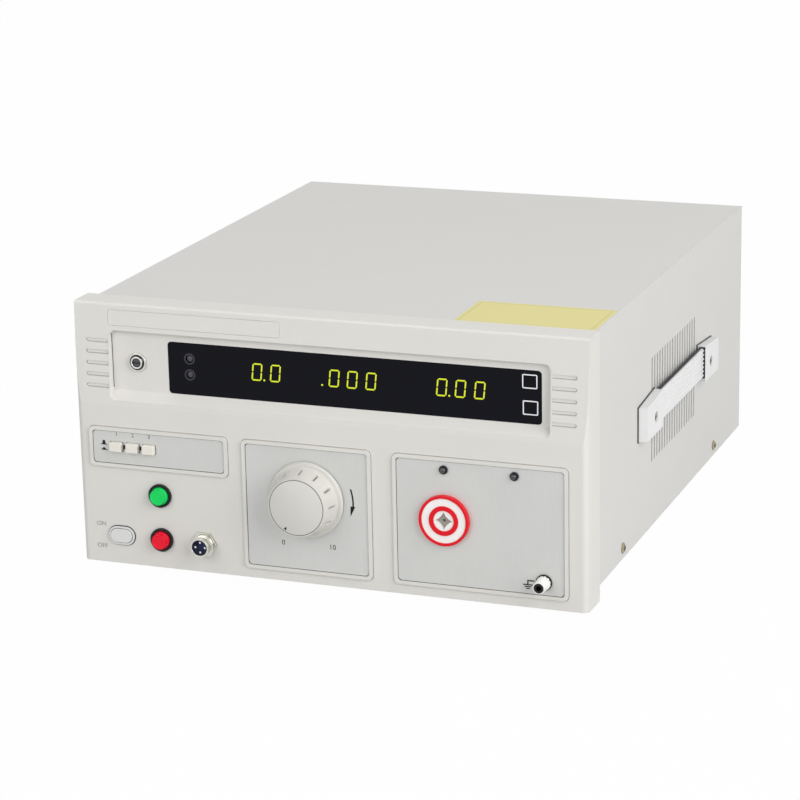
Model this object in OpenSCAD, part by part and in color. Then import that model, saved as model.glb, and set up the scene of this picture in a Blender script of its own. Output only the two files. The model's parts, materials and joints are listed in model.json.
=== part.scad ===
// Bench withstand-voltage tester: moulded front, sheet-metal case, variable
// transformer behind the big knob, high-voltage transformer and boards inside.
// Millimetres. +Z is up, the front faces -Y, and the origin is on the table
// under the middle of the whole instrument.

/* [Front moulding] */
// Width of the moulded front
bezel_w = 410; // [406:1:430]
// Height of the moulded front
bezel_h = 207; // [204:1:225]
// Depth of the moulded front
bezel_depth = 29; // [28:0.5:40]
// Wall of the moulding
bezel_wall = 2.5; // [2:0.1:3]
// Radius of the front's upright edges
edge_r = 5; // [3:0.5:8]
// Radius along the front's top edge
brow_r = 2; // [1:0.5:3]
// How far the top of the front leans back
face_lean = 4.8; // [3:0.1:6]
// Height at which the front starts to lean back
kink_z = 127.7; // [126:0.1:129]

/* [Case] */
// Depth from the front face to the rear edge of the cover
case_depth = 475; // [440:1:520]
// Sheet of the cover
cover_sheet = 1.2; // [1:0.1:1.6]
// How far the cover stands in from the front on each side
cover_inset = 4.5; // [4:0.1:6]
// How far the cover's top lies below the top of the front
cover_step = 2.8; // [2.8:0.1:4]
// How far the cover's lower edge lies above the foot of the front
cover_rise = 6.5; // [5:0.1:8]
// How far the cover slides into the moulded front
cover_tuck = 6; // [4:0.5:8]
// Sheet of the bottom pan and of the rear and inner panels
pan_sheet = 1.5; // [1.2:0.1:2]
// Height of the rubber feet
foot_h = 16; // [12:0.5:22]

/* [Vent slots] */
// Number of slots in each side
vent_count = 18; // [10:1:20]
// Distance from slot to slot
vent_pitch = 7.6; // [6:0.1:8]
// Width of a slot
vent_w = 3; // [2:0.1:3.5]
// Height of a slot
vent_h = 85; // [60:1:100]

/* [Display recess] */
// Width of the recess
pocket_w = 352; // [340:1:356]
// Distance of the recess's top edge below the top of the front
pocket_drop = 21; // [19:0.5:24]
// Height of the lower lip of the recess above the lean's start
lip_rise = 3.8; // [2:0.1:6]
// Depth of the recess floor behind the upright face
pocket_depth = 7.5; // [7:0.1:9]
// Corner radius of the recess
pocket_r = 5; // [4:0.5:9]
// Height of the sloping ledge under the window
ledge_h = 7; // [5:0.5:9]
// Width of the dark window
window_w = 297; // [280:1:300]
// Height of the dark window
window_h = 40.8; // [36:0.2:42]
// Height of one digit
digit_h = 13.6; // [12:0.1:15]

/* [Panel frames] */
// Width of the raised frames round the three plates
frame_lip = 2.8; // [2:0.1:4]
// How far the raised frames stand out
frame_rise = 1.6; // [1:0.1:3]
// Top edge of the frames
frame_top = 110; // [109:0.5:114]
// Bottom edge of the two tall frames
frame_low = 8; // [6:0.5:8]
// Thickness of the inlaid plates
plate_t = 0.8; // [0.5:0.1:1]
// Width of the frame round the range keys
range_frame_w = 115.4; // [110:0.2:120]
// Height of the frame round the range keys
range_frame_h = 31.7; // [28:0.1:34]
// Width of the frame round the knob
knob_frame_w = 104; // [98:0.5:108]
// Width of the frame round the output sockets
output_frame_w = 136; // [130:0.5:138]

/* [Voltage knob] */
// Diameter of the knob's skirt
skirt_d = 60; // [54:0.5:66]
// Diameter of the knob's face
knob_face_d = 45; // [40:0.5:48]
// How far the knob stands out from the plate
knob_h = 19.8; // [16:0.1:26]
// Number of grip slots round the knob
flute_count = 12; // [8:1:16]
// Diameter of the knob's shaft
shaft_d = 8; // [6:0.5:9]

/* [Buttons and keys] */
// Diameter of the rings round the start and reset buttons
button_d = 18.5; // [18:0.1:22]
// Travel of the start and reset buttons
button_travel = 3; // [2:0.1:4]
// Width of the power switch's rim
power_w = 22; // [20:0.1:24]
// Height of the power switch's rim
power_h = 14.7; // [13:0.1:16]
// Width of a range key
key_w = 10.7; // [8:0.1:11]
// Height of a range key
key_h = 7; // [5:0.1:9]
// Distance from key to key
key_pitch = 13.7; // [12.5:0.1:15]
// Travel of a range key and of the power button
key_travel = 2.5; // [2:0.1:3]

/* [Sockets] */
// Outer diameter of the high-voltage socket's red ring
hv_ring_d = 39; // [37:0.5:42]
// Diameter of the high-voltage contact's socket
hv_socket_d = 4.1; // [4:0.1:5]
// Diameter of the ground post's socket
ground_socket_d = 4; // [3.6:0.1:4.2]
// Diameter of the connector's threaded barrel
barrel_d = 15.4; // [13:0.1:16]

/* [Side handles] */
// Length of a handle over its end blocks
handle_l = 224; // [200:1:240]
// Height of an end block's outer end
handle_h = 27.4; // [25:0.2:32]
// How far a handle stands off the side
handle_out = 7.8; // [7.8:0.1:14]
// Length of an end block
block_l = 46; // [42:1:56]

/* [Rear] */
// Side of the square fan
fan_side = 80; // [70:1:92]
// Thickness of the fan
fan_t = 25; // [20:1:32]

/* [Inside] */
// Outer diameter of the variable transformer's winding
variac_d = 106; // [90:1:108]
// Width of the high-voltage transformer's core
hv_core_w = 110; // [90:1:120]
// Height of the high-voltage transformer's core
hv_core_h = 92; // [80:1:110]
// Depth of the high-voltage transformer's stack
hv_stack = 45; // [35:1:60]

/* [Hidden] */

$fn = 64;
// Overrun of every cut
over = 1;
// Play between pieces that only lie beside each other
play = 0.3;
// Radial clearance of a shaft in its bearing
running = 0.05;
// Radial clearance of screws in their holes
screw_play = 0.2;

// Width and height of the front for which its layout is given
drawn_w = 410;
drawn_h = 207;
// How the layout stretches with the front
across = bezel_w / drawn_w;
upward = bezel_h / drawn_h;
crease_z = kink_z * upward;
recess_w = pocket_w * across;
recess_drop = pocket_drop * upward;
lip_lift = lip_rise * upward;
ledge_rise = ledge_h * upward;
glass_w = window_w * across;
glass_h = window_h * upward;
bay_top = frame_top * upward;
bay_low = frame_low * upward;
range_bay_w = range_frame_w * across;
range_bay_h = range_frame_h * upward;
knob_bay_w = knob_frame_w * across;
output_bay_w = output_frame_w * across;

// Shank radius of the case screws
screw_r = 1.9;
// Head radius of the case screws
screw_head_r = 3.5;
// Head radius of the screws in the sides and in the handles
side_head_r = 4.2;
// Head height of the case screws
screw_head_h = 2;

// Front edge of the cover, behind the face
cover_front = bezel_depth - cover_tuck;
// Outer width of the cover
cover_w = bezel_w - 2 * cover_inset;
// Top of the cover above the foot of the front
cover_top = bezel_h - cover_step;
// Half width of the pan, inside the cover
pan_half = cover_w / 2 - cover_sheet - play;
// Upper face of the pan's floor
pan_top = cover_rise + pan_sheet;
// Height of the pan's side flanges
pan_flange = 24;
// How far the rear panel stands in from the cover's rear edge
rear_inset = 2;
// Outer face of the rear panel
rear_y = case_depth - rear_inset;
// Inner face of the rear panel
rear_in_y = rear_y - pan_sheet;
// Front face of the inner panel
sub_y = 6;
// Rear face of the inner panel
sub_back = sub_y + pan_sheet;
// Top of the inner panel, under the display recess
sub_top = crease_z - 4;

// Gap between the knob's skirt and its plate
knob_gap = 1;
// How far the knob's face disc stands proud of its rim
disc_proud = 0.4;
// Furthest reach in front of the face
knob_reach = plate_t + knob_gap + knob_h + disc_proud;
// Thickness of the fuse holder's flange
fuse_flange_t = 2;
// How far the fuse cap stands out of its flange
fuse_cap_h = 8;
// Furthest reach behind the cover's rear edge
rear_reach = fuse_flange_t + fuse_cap_h - rear_inset;
// Place of the upright face along Y
face_y = (knob_reach - case_depth - rear_reach) / 2;
// Height of the foot of the front above the table
base_z = foot_h - cover_rise;

// Places on the face, measured from its middle and from its foot
knob_x = -15.5 * across;
knob_z = 67 * upward;
range_x = -137.1 * across;
output_x = 121.9 * across;
start_x = -137 * across;
start_z = 58.6 * upward;
reset_z = 23 * upward;
power_x = -171.2 * across;
power_z = 23 * upward;
connector_x = -101.2 * across;
connector_z = 23 * upward;
hv_x = 94.7 * across;
hv_z = 62 * upward;
lamp_x = 94.3 * across;
lamp_gap = 54.8 * across;
lamp_z = 100.8 * upward;
ground_x = 171.3 * across;
ground_z = 21 * upward;
key_x = -171.8 * across;
key_z = 95.2 * upward;
preset_x = -154.5 * across;
preset_z = 161.5 * upward;

module placed(x, z, y = 0) {
    translate([x, face_y + y, base_z + z]) children();
}

// Turns a shape drawn upwards so that it points out of the front
module forward() {
    rotate([90, 0, 0]) children();
}

// Turns a shape drawn upwards so that it points into the case
module inward() {
    rotate([-90, 0, 0]) children();
}

// A disc or tube on the face, from depth y0 to depth y1 behind it
module face_cyl(x, z, y0, y1, r, r_end = -1) {
    placed(x, z, y0) inward() cylinder(h = y1 - y0, r1 = r, r2 = r_end < 0 ? r : r_end);
}

// A plain block on the face, centred on x and z, from depth y0 to depth y1
module face_box(x, z, w, h, y0, y1) {
    placed(x - w / 2, z - h / 2, y0) cube([w, y1 - y0, h]);
}

module rounded_rect(w, h, r) {
    square([w - 2 * r, h], center = true);
    square([w, h - 2 * r], center = true);
    for (sx = [-1, 1], sy = [-1, 1])
        translate([sx * (w / 2 - r), sy * (h / 2 - r)]) circle(r = r);
}

// A rounded block on the face, from depth y0 to depth y1
module face_plate(x, z, w, h, r, y0, y1) {
    placed(x, z, y1) forward() linear_extrude(y1 - y0) rounded_rect(w, h, r);
}

// A side view drawn as depth and height, drawn out to a width about x
module side_profile(points, w, x = 0) {
    translate([x - w / 2, face_y, base_z]) rotate([90, 0, 90]) linear_extrude(w) polygon(points);
}

function arc(cy, cz, r, a0, a1, n) =
    [for (i = [0:n]) [cy + r * cos(a0 + (a1 - a0) * i / n), cz + r * sin(a0 + (a1 - a0) * i / n)]];

// Depth of the leaning face at a height
function lean_at(z) = max(0, z - crease_z) * face_lean / (bezel_h - crease_z);

// FRONT MOULDING

// Sides of the arc along the top edge
brow_steps = 6;
// Angle of the lean
lean_angle = atan(face_lean / (bezel_h - crease_z));

module bezel_solid(inset, depth) {
    r = max(brow_r - inset, brow_r / 4);
    top = bezel_h - inset;
    brow = arc(lean_at(top) + inset + r, top - r, r, 180 - lean_angle, 90, brow_steps);
    intersection() {
        side_profile(concat([[inset, inset], [inset, crease_z]], brow, [[depth, top], [depth, inset]]),
            bezel_w - 2 * inset);
        placed(0, inset) linear_extrude(bezel_h) plan_outline(inset, depth);
    }
}

module plan_outline(inset, depth) {
    r = edge_r - min(inset, edge_r / 2);
    half = bezel_w / 2 - inset;
    translate([-half, inset + r]) square([2 * half, depth - inset - r]);
    translate([r - half, inset]) square([2 * (half - r), depth - inset]);
    for (s = [-1, 1]) translate([s * (half - r), inset + r]) circle(r = r);
}

// Recess for the display: upright floor, sloping ledge up to the lip
lip_z = crease_z + lip_lift;
pocket_top = bezel_h - recess_drop;
pocket_z = (lip_z + pocket_top) / 2;
pocket_h = pocket_top - lip_z;
floor_low = lip_z + ledge_rise;

module pocket_shape(grow) {
    low = lip_z - grow;
    floor_y = pocket_depth + grow;
    intersection() {
        side_profile([[-over, low - ledge_rise * over / pocket_depth], [floor_y, floor_low - grow / 2],
            [floor_y, pocket_top + grow], [-over, pocket_top + grow]], recess_w + 2 * grow);
        face_plate(0, pocket_z, recess_w + 2 * grow, pocket_h + 2 * grow, pocket_r + grow,
            -over - grow, floor_y + over);
    }
}

// Dark window, low in the recess and against its right side
window_side = 8.2;
window_x = recess_w / 2 - window_side - glass_w / 2;
window_z = floor_low + play + glass_h / 2;
window_r = 3;
window_flange = 3;
window_flange_t = 1.5;
floor_back = pocket_depth + bezel_wall;
window_back = floor_back + window_flange_t;

// Grooves on both sides of the recess
groove_count = 5;
groove_pitch = 8.8 * upward;
groove_h = 3.2;
groove_depth = 0.9;
groove_gap = 1;
groove_margin = 9.2;
groove_top_drop = 29.6;
groove_in = recess_w / 2 + groove_gap;
groove_out = bezel_w / 2 - groove_margin;
groove_l = groove_out - groove_in;

module groove(side, i) {
    z = bezel_h - groove_top_drop - i * groove_pitch;
    translate([side * groove_in, face_y + lean_at(z) - over, base_z + z - groove_h / 2])
        mirror([side < 0 ? 1 : 0, 0, 0]) {
            cube([groove_l - groove_h / 2, over + groove_depth, groove_h]);
            translate([groove_l - groove_h / 2, 0, groove_h / 2]) inward()
                cylinder(h = over + groove_depth, r = groove_h / 2);
        }
}

// Shallow seat of the name strip above the recess
strip_w = 141.5 * across;
strip_h = 12.3;
strip_x = -106.2 * across;
strip_drop = 11.1;
strip_r = 2.5;
strip_t = 0.6;
strip_z = bezel_h - strip_drop;

module strip_shape(w, h, r, t0, t1) {
    placed(strip_x, strip_z, lean_at(strip_z)) rotate([-lean_angle, 0, 0])
        translate([0, t1, 0]) forward() linear_extrude(t1 - t0) rounded_rect(w, h, r);
}

// Corner radius outside the raised frames
frame_r = 4;
frame_h = bay_top - bay_low;
tall_z = (bay_top + bay_low) / 2;
range_z = bay_top - range_bay_h / 2;

module raised_frame(x, z, w, h) {
    difference() {
        face_plate(x, z, w, h, frame_r, -frame_rise, bezel_wall / 2);
        face_plate(x, z, w - 2 * frame_lip, h - 2 * frame_lip, frame_r - frame_lip / 2,
            -frame_rise - over, bezel_wall);
    }
}

// Bosses that hold the inner panel, between the frames and at the edges
boss_r = 4;
boss_places = [
    [(range_x + range_bay_w / 2 + knob_x - knob_bay_w / 2) / 2, bay_low + 2 * boss_r],
    [(range_x + range_bay_w / 2 + knob_x - knob_bay_w / 2) / 2, bay_top - 2 * boss_r],
    [(knob_x + knob_bay_w / 2 + output_x - output_bay_w / 2) / 2, bay_low + 2 * boss_r],
    [(knob_x + knob_bay_w / 2 + output_x - output_bay_w / 2) / 2, bay_top - 2 * boss_r],
    [power_x - power_w / 2 - 2 * boss_r, start_z],
    [output_x + output_bay_w / 2, start_z]];

// Lugs under the pan and posts behind the recess for the display board
lug_w = 16;
lug_x = bezel_w * 0.27;
post_r = 2.4;
floor_h = pocket_top - floor_low;
floor_mid = (pocket_top + floor_low) / 2;
digit_block_t = 8.5;
board_y = window_back + play + digit_block_t;
post_places = [for (sx = [-1, 1], sz = [-1, 1])
    [sx * (recess_w / 2 - post_r), floor_mid + sz * (floor_h / 2 - post_r)]];

module front_bezel() {
    color("#e0deda") difference() {
        union() {
            difference() {
                bezel_solid(0, bezel_depth);
                bezel_solid(bezel_wall, bezel_depth + over);
            }
            intersection() {
                bezel_solid(0, bezel_depth);
                pocket_shape(bezel_wall);
            }
            raised_frame(range_x, range_z, range_bay_w, range_bay_h);
            raised_frame(knob_x, tall_z, knob_bay_w, frame_h);
            raised_frame(output_x, tall_z, output_bay_w, frame_h);
            for (p = boss_places) face_cyl(p[0], p[1], bezel_wall / 2, sub_y, boss_r);
            for (p = post_places) face_cyl(p[0], p[1], pocket_depth + bezel_wall / 2, board_y, post_r);
            for (s = [-1, 1])
                placed(s * lug_x - lug_w / 2, bezel_wall / 2, sub_back)
                    cube([lug_w, cover_front - sub_back, cover_rise - bezel_wall / 2]);
        }
        pocket_shape(0);
        face_plate(window_x, window_z, glass_w, glass_h, window_r, 0, floor_back + over);
        for (side = [-1, 1], i = [0:groove_count - 1]) groove(side, i);
        strip_shape(strip_w, strip_h, strip_r, -over, strip_t);
        face_cyl(preset_x, preset_z, 0, floor_back + over, preset_thread_r + play);
        control_cuts(-over, bezel_wall + over);
        for (p = boss_places) face_cyl(p[0], p[1], bezel_wall, sub_y + over, screw_r - screw_play);
        key_cuts(-over, bezel_wall + over, 2 * play);
    }
}

// Holes for everything that stands through the lower face and the inner panel
module control_cuts(y0, y1) {
    for (z = [start_z, reset_z]) face_cyl(start_x, z, y0, y1, thread_r + play);
    face_plate(power_x, power_z, power_w - power_lip, power_h - power_lip,
        (power_h - power_lip) / 2 - play, y0, y1);
    face_cyl(connector_x, connector_z, y0, y1, connector_thread_r + play);
    face_cyl(knob_x, knob_z, y0, y1, bush_r + play);
    face_cyl(hv_x, hv_z, y0, y1, hv_barrel_r + play);
    for (i = [0, 1]) face_cyl(lamp_x + i * lamp_gap, lamp_z, y0, y1, lamp_body_r + play);
    face_cyl(ground_x, ground_z, y0, y1, ground_stud_r + play);
}

module key_cuts(y0, y1, gap) {
    for (i = [0:2])
        face_box(key_x + i * key_pitch, key_z, key_w + 2 * gap, key_h + 2 * gap, y0, y1);
}

module inlay(x, z, w, h) {
    difference() {
        face_plate(x, z, w - 2 * frame_lip - play, h - 2 * frame_lip - play,
            frame_r - frame_lip / 2, -plate_t, 0);
        control_cuts(-plate_t - over, over);
        key_cuts(-plate_t - over, over, play);
    }
}

module range_plate() {
    color("#cdd5d6") inlay(range_x, range_z, range_bay_w, range_bay_h);
}

module knob_plate() {
    color("#cdd5d6") inlay(knob_x, tall_z, knob_bay_w, frame_h);
}

module output_plate() {
    color("#cdd5d6") inlay(output_x, tall_z, output_bay_w, frame_h);
}

module name_strip() {
    gap = play / 2;
    color("#d9d8d3") strip_shape(strip_w - 2 * gap, strip_h - 2 * gap, strip_r - gap, gap, strip_t);
}

// SHEET METAL

// Middle of the cover along its depth
side_mid = (bezel_depth + case_depth) / 2;
vent_z = 102.5 * upward;
side_screw_z = 15.4;
side_screw_gap = 278;
// How far the side screws lie before the middle of the side
side_screw_fore = 7.5;
rear_screw_drop = 12;
side_screws = [for (s = [-1, 1]) side_mid - side_screw_fore + s * side_screw_gap / 2];

module sheet_box(half, top, low, y0, y1) {
    placed(-half, low, y0) cube([2 * half, y1 - y0, top - low]);
}

module vent_slots(side) {
    for (i = [0:vent_count - 1])
        placed(side * cover_w / 2, vent_z, side_mid + (i - (vent_count - 1) / 2) * vent_pitch)
            rotate([0, 90, 0]) linear_extrude(4 * cover_sheet, center = true)
                rounded_rect(vent_h, vent_w, vent_w / 2 - play / 2);
}

module side_holes(z, r) {
    for (side = [-1, 1], y = side_screws)
        placed(side * cover_w / 2, z, y) rotate([0, 90, 0])
            cylinder(h = 8 * cover_sheet, r = r, center = true);
}

module top_cover() {
    color("#d3d3d1") difference() {
        sheet_box(cover_w / 2, cover_top, cover_rise, cover_front, case_depth);
        sheet_box(cover_w / 2 - cover_sheet, cover_top - cover_sheet, cover_rise - over,
            cover_front - over, case_depth + over);
        for (side = [-1, 1]) vent_slots(side);
        side_holes(side_screw_z, screw_r + screw_play);
        for (side = [-1, 1], s = [-1, 1])
            placed(side * cover_w / 2, handle_z, handle_y + s * block_screw_y) rotate([0, 90, 0])
                cylinder(h = 8 * cover_sheet, r = screw_r + screw_play, center = true);
    }
}

module chassis_base() {
    rear_flange = pan_flange / 2;
    color("#b9bcbd") difference() {
        union() {
            difference() {
                sheet_box(pan_half, pan_top + pan_flange, cover_rise, sub_y, rear_in_y);
                sheet_box(pan_half - pan_sheet, cover_top, pan_top, sub_y - over, rear_in_y - pan_sheet);
                sheet_box(pan_half + over, cover_top, pan_top, sub_y - over, cover_front);
                sheet_box(pan_half - pan_sheet, cover_top, pan_top + rear_flange,
                    sub_y - over, rear_in_y + over);
            }
            for (p = board_studs) placed(p[0], pan_top, p[1]) cylinder(h = board_lift, r = stud_r);
        }
        side_holes(side_screw_z, screw_r + screw_play);
        for (x = rear_screw_xs) face_cyl(x, pan_top + rear_flange / 2, rear_in_y - 2 * pan_sheet,
            rear_in_y + over, screw_r + screw_play);
    }
}

module front_subpanel() {
    half = pan_half - pan_sheet;
    color("#aeb2b4") difference() {
        sheet_box(half, sub_top, pan_top, sub_y, sub_back);
        control_cuts(sub_y - over, sub_back + over);
        face_box(key_x + key_pitch, key_z, 3 * key_pitch, key_h + 4 * play, sub_y - over, sub_back + over);
        for (p = boss_places) face_cyl(p[0], p[1], sub_y - over, sub_back + over, screw_r + screw_play);
    }
}

rear_screw_x = 150 * across;
rear_screw_xs = [-rear_screw_x, 0, rear_screw_x];

module rear_panel() {
    color("#d3d3d1") difference() {
        sheet_box(pan_half, cover_top - cover_sheet - play, cover_rise, rear_in_y, rear_y);
        face_cyl(fan_x, fan_z, rear_in_y - over, rear_y + over, fan_bore_r);
        fan_corners() face_cyl(0, 0, rear_in_y - over, rear_y + over, fan_screw_r + screw_play);
        face_box(inlet_x, inlet_z, inlet_body_w + 2 * play, inlet_body_h + 2 * play,
            rear_in_y - over, rear_y + over);
        face_cyl(fuse_x, inlet_z, rear_in_y - over, rear_y + over, fuse_body_r + play);
        for (x = rear_screw_xs) face_cyl(x, pan_top + pan_flange / 4, rear_in_y - over,
            rear_y + over, screw_r + screw_play);
    }
}

// Rubber feet, well in from the edges
foot_r = 13;
foot_top_r = 15;
foot_in_x = 52;
foot_in_y = 70;

module feet() {
    color("#2b2b2c") for (sx = [-1, 1], y = [bezel_depth + foot_in_y, case_depth - foot_in_y])
        translate([sx * (cover_w / 2 - foot_in_x), face_y + y, 0])
            cylinder(h = foot_h, r1 = foot_r, r2 = foot_top_r);
}

// A pan-head screw with its head's seat at the origin, pointing down
module pan_screw(shank, head_r = screw_head_r) {
    translate([0, 0, -shank]) cylinder(h = shank + screw_head_h / 2, r = screw_r - screw_play);
    difference() {
        intersection() {
            cylinder(h = screw_head_h, r = head_r);
            translate([0, 0, screw_head_h - 2 * head_r]) sphere(r = 2 * head_r);
        }
        for (a = [0, 90]) rotate(a)
            translate([-head_r / 2, -screw_head_h / 6, screw_head_h / 2])
                cube([head_r, screw_head_h / 3, screw_head_h]);
    }
}

module case_screws() {
    side_shank = 2 * cover_sheet + 2 * pan_sheet;
    block_shank = handle_out - block_sink + 2 * cover_sheet;
    color("#c9c4a6") {
        for (side = [-1, 1]) {
            for (y = side_screws)
                placed(side * cover_w / 2, side_screw_z, y) rotate([0, side * 90, 0])
                    pan_screw(side_shank, side_head_r);
            for (s = [-1, 1])
                placed(side * (cover_w / 2 + handle_out - block_sink), handle_z,
                    handle_y + s * block_screw_y) rotate([0, side * 90, 0])
                        pan_screw(block_shank, side_head_r);
        }
        for (x = rear_screw_xs)
            placed(x, pan_top + pan_flange / 4, rear_y) inward() pan_screw(4 * pan_sheet);
        for (p = boss_places)
            placed(p[0], p[1], sub_back) inward() pan_screw(pan_sheet + sub_y - bezel_wall - play);
        fan_corners() placed(0, 0, rear_y + wire_d) inward() pan_screw(wire_d + 4 * pan_sheet);
    }
}

// DISPLAY

// Distance from digit to digit, against the digit's height
digit_pitch_share = 1.08;
digit_pitch = digit_h * digit_pitch_share;
digit_module_h = 19;
digit_lift = 2.2;
digit_z = window_z + digit_lift;
timer_x = -48 * across;
current_x = 21 * across;
voltage_x = 106 * across;
led_r = 3.3;
led_x = -111.4 * across;
led_drop = 4.6;
led_lift = 7.9;
led_zs = [window_z - led_drop, window_z + led_lift];

module display_window() {
    color("#15171c") difference() {
        union() {
            face_plate(window_x, window_z, glass_w - play, glass_h - play, window_r - play / 2,
                pocket_depth, floor_back);
            face_plate(window_x, window_z, glass_w + 2 * window_flange,
                glass_h + window_flange, window_r, floor_back, window_back);
        }
        for (z = led_zs) face_cyl(led_x, z, pocket_depth - over, window_back + over, led_r + play / 2);
    }
}

module digit_block(x, digits) {
    w = digits * digit_pitch;
    color("#2a2c30") difference() {
        face_box(x, digit_z, w, digit_module_h, window_back + play, board_y);
        for (i = [0:digits - 1])
            translate([(i - (digits - 1) / 2) * digit_pitch, 0, 0]) seven_segments(x);
    }
}

// Segment bars sunk into the face of a digit block
module seven_segments(x) {
    bar = digit_h / 8;
    w = digit_h / 2 + bar;
    sink = digit_h / 20;
    y0 = window_back + play - over;
    y1 = window_back + play + sink;
    for (s = [-1, 0, 1]) face_box(x, digit_z + s * digit_h / 2, w - 2 * bar, bar, y0, y1);
    for (s = [-1, 1], t = [-1, 1])
        face_box(x + s * w / 2, digit_z + t * digit_h / 4, bar, digit_h / 2 - 1.6 * bar, y0, y1);
}

module timer_display() {
    digit_block(timer_x, 2);
}

module current_display() {
    digit_block(current_x, 3);
}

module voltage_display() {
    digit_block(voltage_x, 3);
}

board_t = 1.6;

module display_board() {
    color("#2f6b3c") difference() {
        face_box(0, pocket_z, recess_w, pocket_h - play, board_y, board_y + board_t);
        face_cyl(preset_x, preset_z, board_y - over, board_y + board_t + over, preset_body_r + play);
    }
}

module status_leds() {
    color("#4a4b4f") for (z = led_zs) {
        face_cyl(led_x, z, pocket_depth + led_r - play, board_y, led_r);
        placed(led_x, z, pocket_depth + led_r - play) intersection() {
            sphere(r = led_r);
            rotate([90, 0, 0]) cylinder(h = led_r, r = led_r);
        }
    }
}

// Trimmer for the leakage limit, left of the window
preset_thread_r = 4.2;
preset_nut_r = 6.3;
preset_nut_t = 2;
preset_proud = 3.4;
preset_shaft_r = 3;
preset_body_r = 8;
preset_body_t = 12;

module preset_bush() {
    shaft_end = floor_back + preset_body_t / 2;
    color("#c8c8c4") difference() {
        union() {
            face_cyl(preset_x, preset_z, pocket_depth - preset_nut_t, pocket_depth, preset_nut_r);
            face_cyl(preset_x, preset_z, pocket_depth - preset_proud, floor_back, preset_thread_r);
            face_cyl(preset_x, preset_z, floor_back, floor_back + preset_body_t, preset_body_r);
        }
        face_cyl(preset_x, preset_z, pocket_depth - preset_proud - over, shaft_end + play,
            preset_shaft_r + running);
    }
}

module preset_shaft() {
    front = pocket_depth - preset_proud + play;
    slot_w = preset_shaft_r / 3;
    color("#a9a9a5") difference() {
        face_cyl(preset_x, preset_z, front, floor_back + preset_body_t / 2, preset_shaft_r);
        face_box(preset_x, preset_z, 2 * preset_shaft_r + over, slot_w, front - over, front + 2 * slot_w);
    }
}

// KEYS AND BUTTONS

key_proud = 4;
key_back = sub_y;
stem_w = 4;
stem_l = 3;

module range_key(i) {
    x = key_x + i * key_pitch;
    color("#e9e4d2") {
        face_box(x, key_z, key_w, key_h, -plate_t - key_proud, key_back);
        face_box(x, key_z, stem_w, stem_w, key_back, sub_back + stem_l);
    }
}

module range_key_1() {
    range_key(0);
}

module range_key_2() {
    range_key(1);
}

module range_key_3() {
    range_key(2);
}

module range_switch() {
    depth = 20;
    face = sub_back + key_travel;
    color("#3c3f45") difference() {
        union() {
            face_box(key_x + key_pitch, key_z, 3 * key_pitch + 2 * play, key_h + 6 * play,
                sub_back, sub_back + depth);
            face_box(key_x + key_pitch, key_z, 4 * key_pitch, key_h + 6 * play,
                sub_back, sub_back + pan_sheet);
        }
        for (i = [0:2]) {
            face_box(key_x + i * key_pitch, key_z, key_w + 2 * play, key_h + 2 * play,
                sub_back - over, face + play);
            face_box(key_x + i * key_pitch, key_z, stem_w + 2 * play, stem_w + 2 * play,
                face, face + stem_l + play);
        }
    }
}

button_lip = 1.6;
button_ring_t = 2.5;
button_r = button_d / 2;
cap_r = button_r - button_lip - play;
thread_r = button_r - button_lip / 2;
button_well = 9;
button_body_l = 34;
plunger_r = 2.5;
plunger_l = 8;
cap_proud = 4;
cap_back = 4;
disc_r_share = 0.72;
disc_t = 1.4;

module button_housing(z) {
    difference() {
        union() {
            face_cyl(start_x, z, -button_ring_t, 0, button_r);
            face_cyl(start_x, z, 0, button_body_l, thread_r);
            face_cyl(start_x, z, sub_back, sub_back + 2 * pan_sheet, button_r + button_lip);
        }
        face_cyl(start_x, z, -button_ring_t - over, button_well, cap_r + play);
        face_cyl(start_x, z, button_well - over, button_well + plunger_l + button_travel,
            plunger_r + play);
    }
}

module button_housings() {
    color("#2a2b2e") for (z = [start_z, reset_z]) button_housing(z);
}

module push_button(z) {
    face_cyl(start_x, z, -cap_proud, cap_back, cap_r);
    face_cyl(start_x, z, -cap_proud - disc_t, -cap_proud, cap_r * disc_r_share);
    face_cyl(start_x, z, cap_back, button_well + plunger_l / 2, plunger_r);
}

module start_button() {
    color("#0ad764") push_button(start_z);
}

module reset_button() {
    color("#e10a32") push_button(reset_z);
}

power_lip = 1.6;
power_proud = 1.5;
power_cap_proud = 2.6;
power_body_l = 34;
power_well = 10;

module stadium(w, h, y0, y1) {
    placed(power_x, power_z, y1) forward() linear_extrude(y1 - y0) {
        square([w - h, h], center = true);
        for (s = [-1, 1]) translate([s * (w - h) / 2, 0]) circle(r = h / 2);
    }
}

module power_switch() {
    cap_w = power_w - 2 * power_lip;
    cap_h = power_h - 2 * power_lip;
    color("#303236") difference() {
        union() {
            stadium(power_w, power_h, -power_proud, 0);
            stadium(power_w - power_lip - 2 * play, power_h - power_lip - 2 * play, 0, power_body_l);
        }
        stadium(cap_w, cap_h, -power_proud - over, power_well);
        face_box(power_x, power_z, stem_w + 2 * play, stem_w + 2 * play, power_well - over,
            power_well + stem_l + key_travel);
    }
}

module power_button() {
    color("#c9cacd") {
        stadium(power_w - 2 * power_lip - 2 * play, power_h - 2 * power_lip - 2 * play,
            -power_cap_proud, power_well - key_travel - play);
        face_box(power_x, power_z, stem_w, stem_w, power_well - key_travel - play,
            power_well + stem_l - play);
    }
}

// SOCKETS

barrel_r = barrel_d / 2;
barrel_wall = 1.5;
barrel_proud = 11;
nut_r = 10.6;
nut_t = 2.6;
connector_thread_r = barrel_r - barrel_wall / 2;
connector_back = 14;
insert_sink = 6;
pin_r = 0.8;
pin_circle = 3.9;
pin_count = 4;
pin_l = 4.4;

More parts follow.
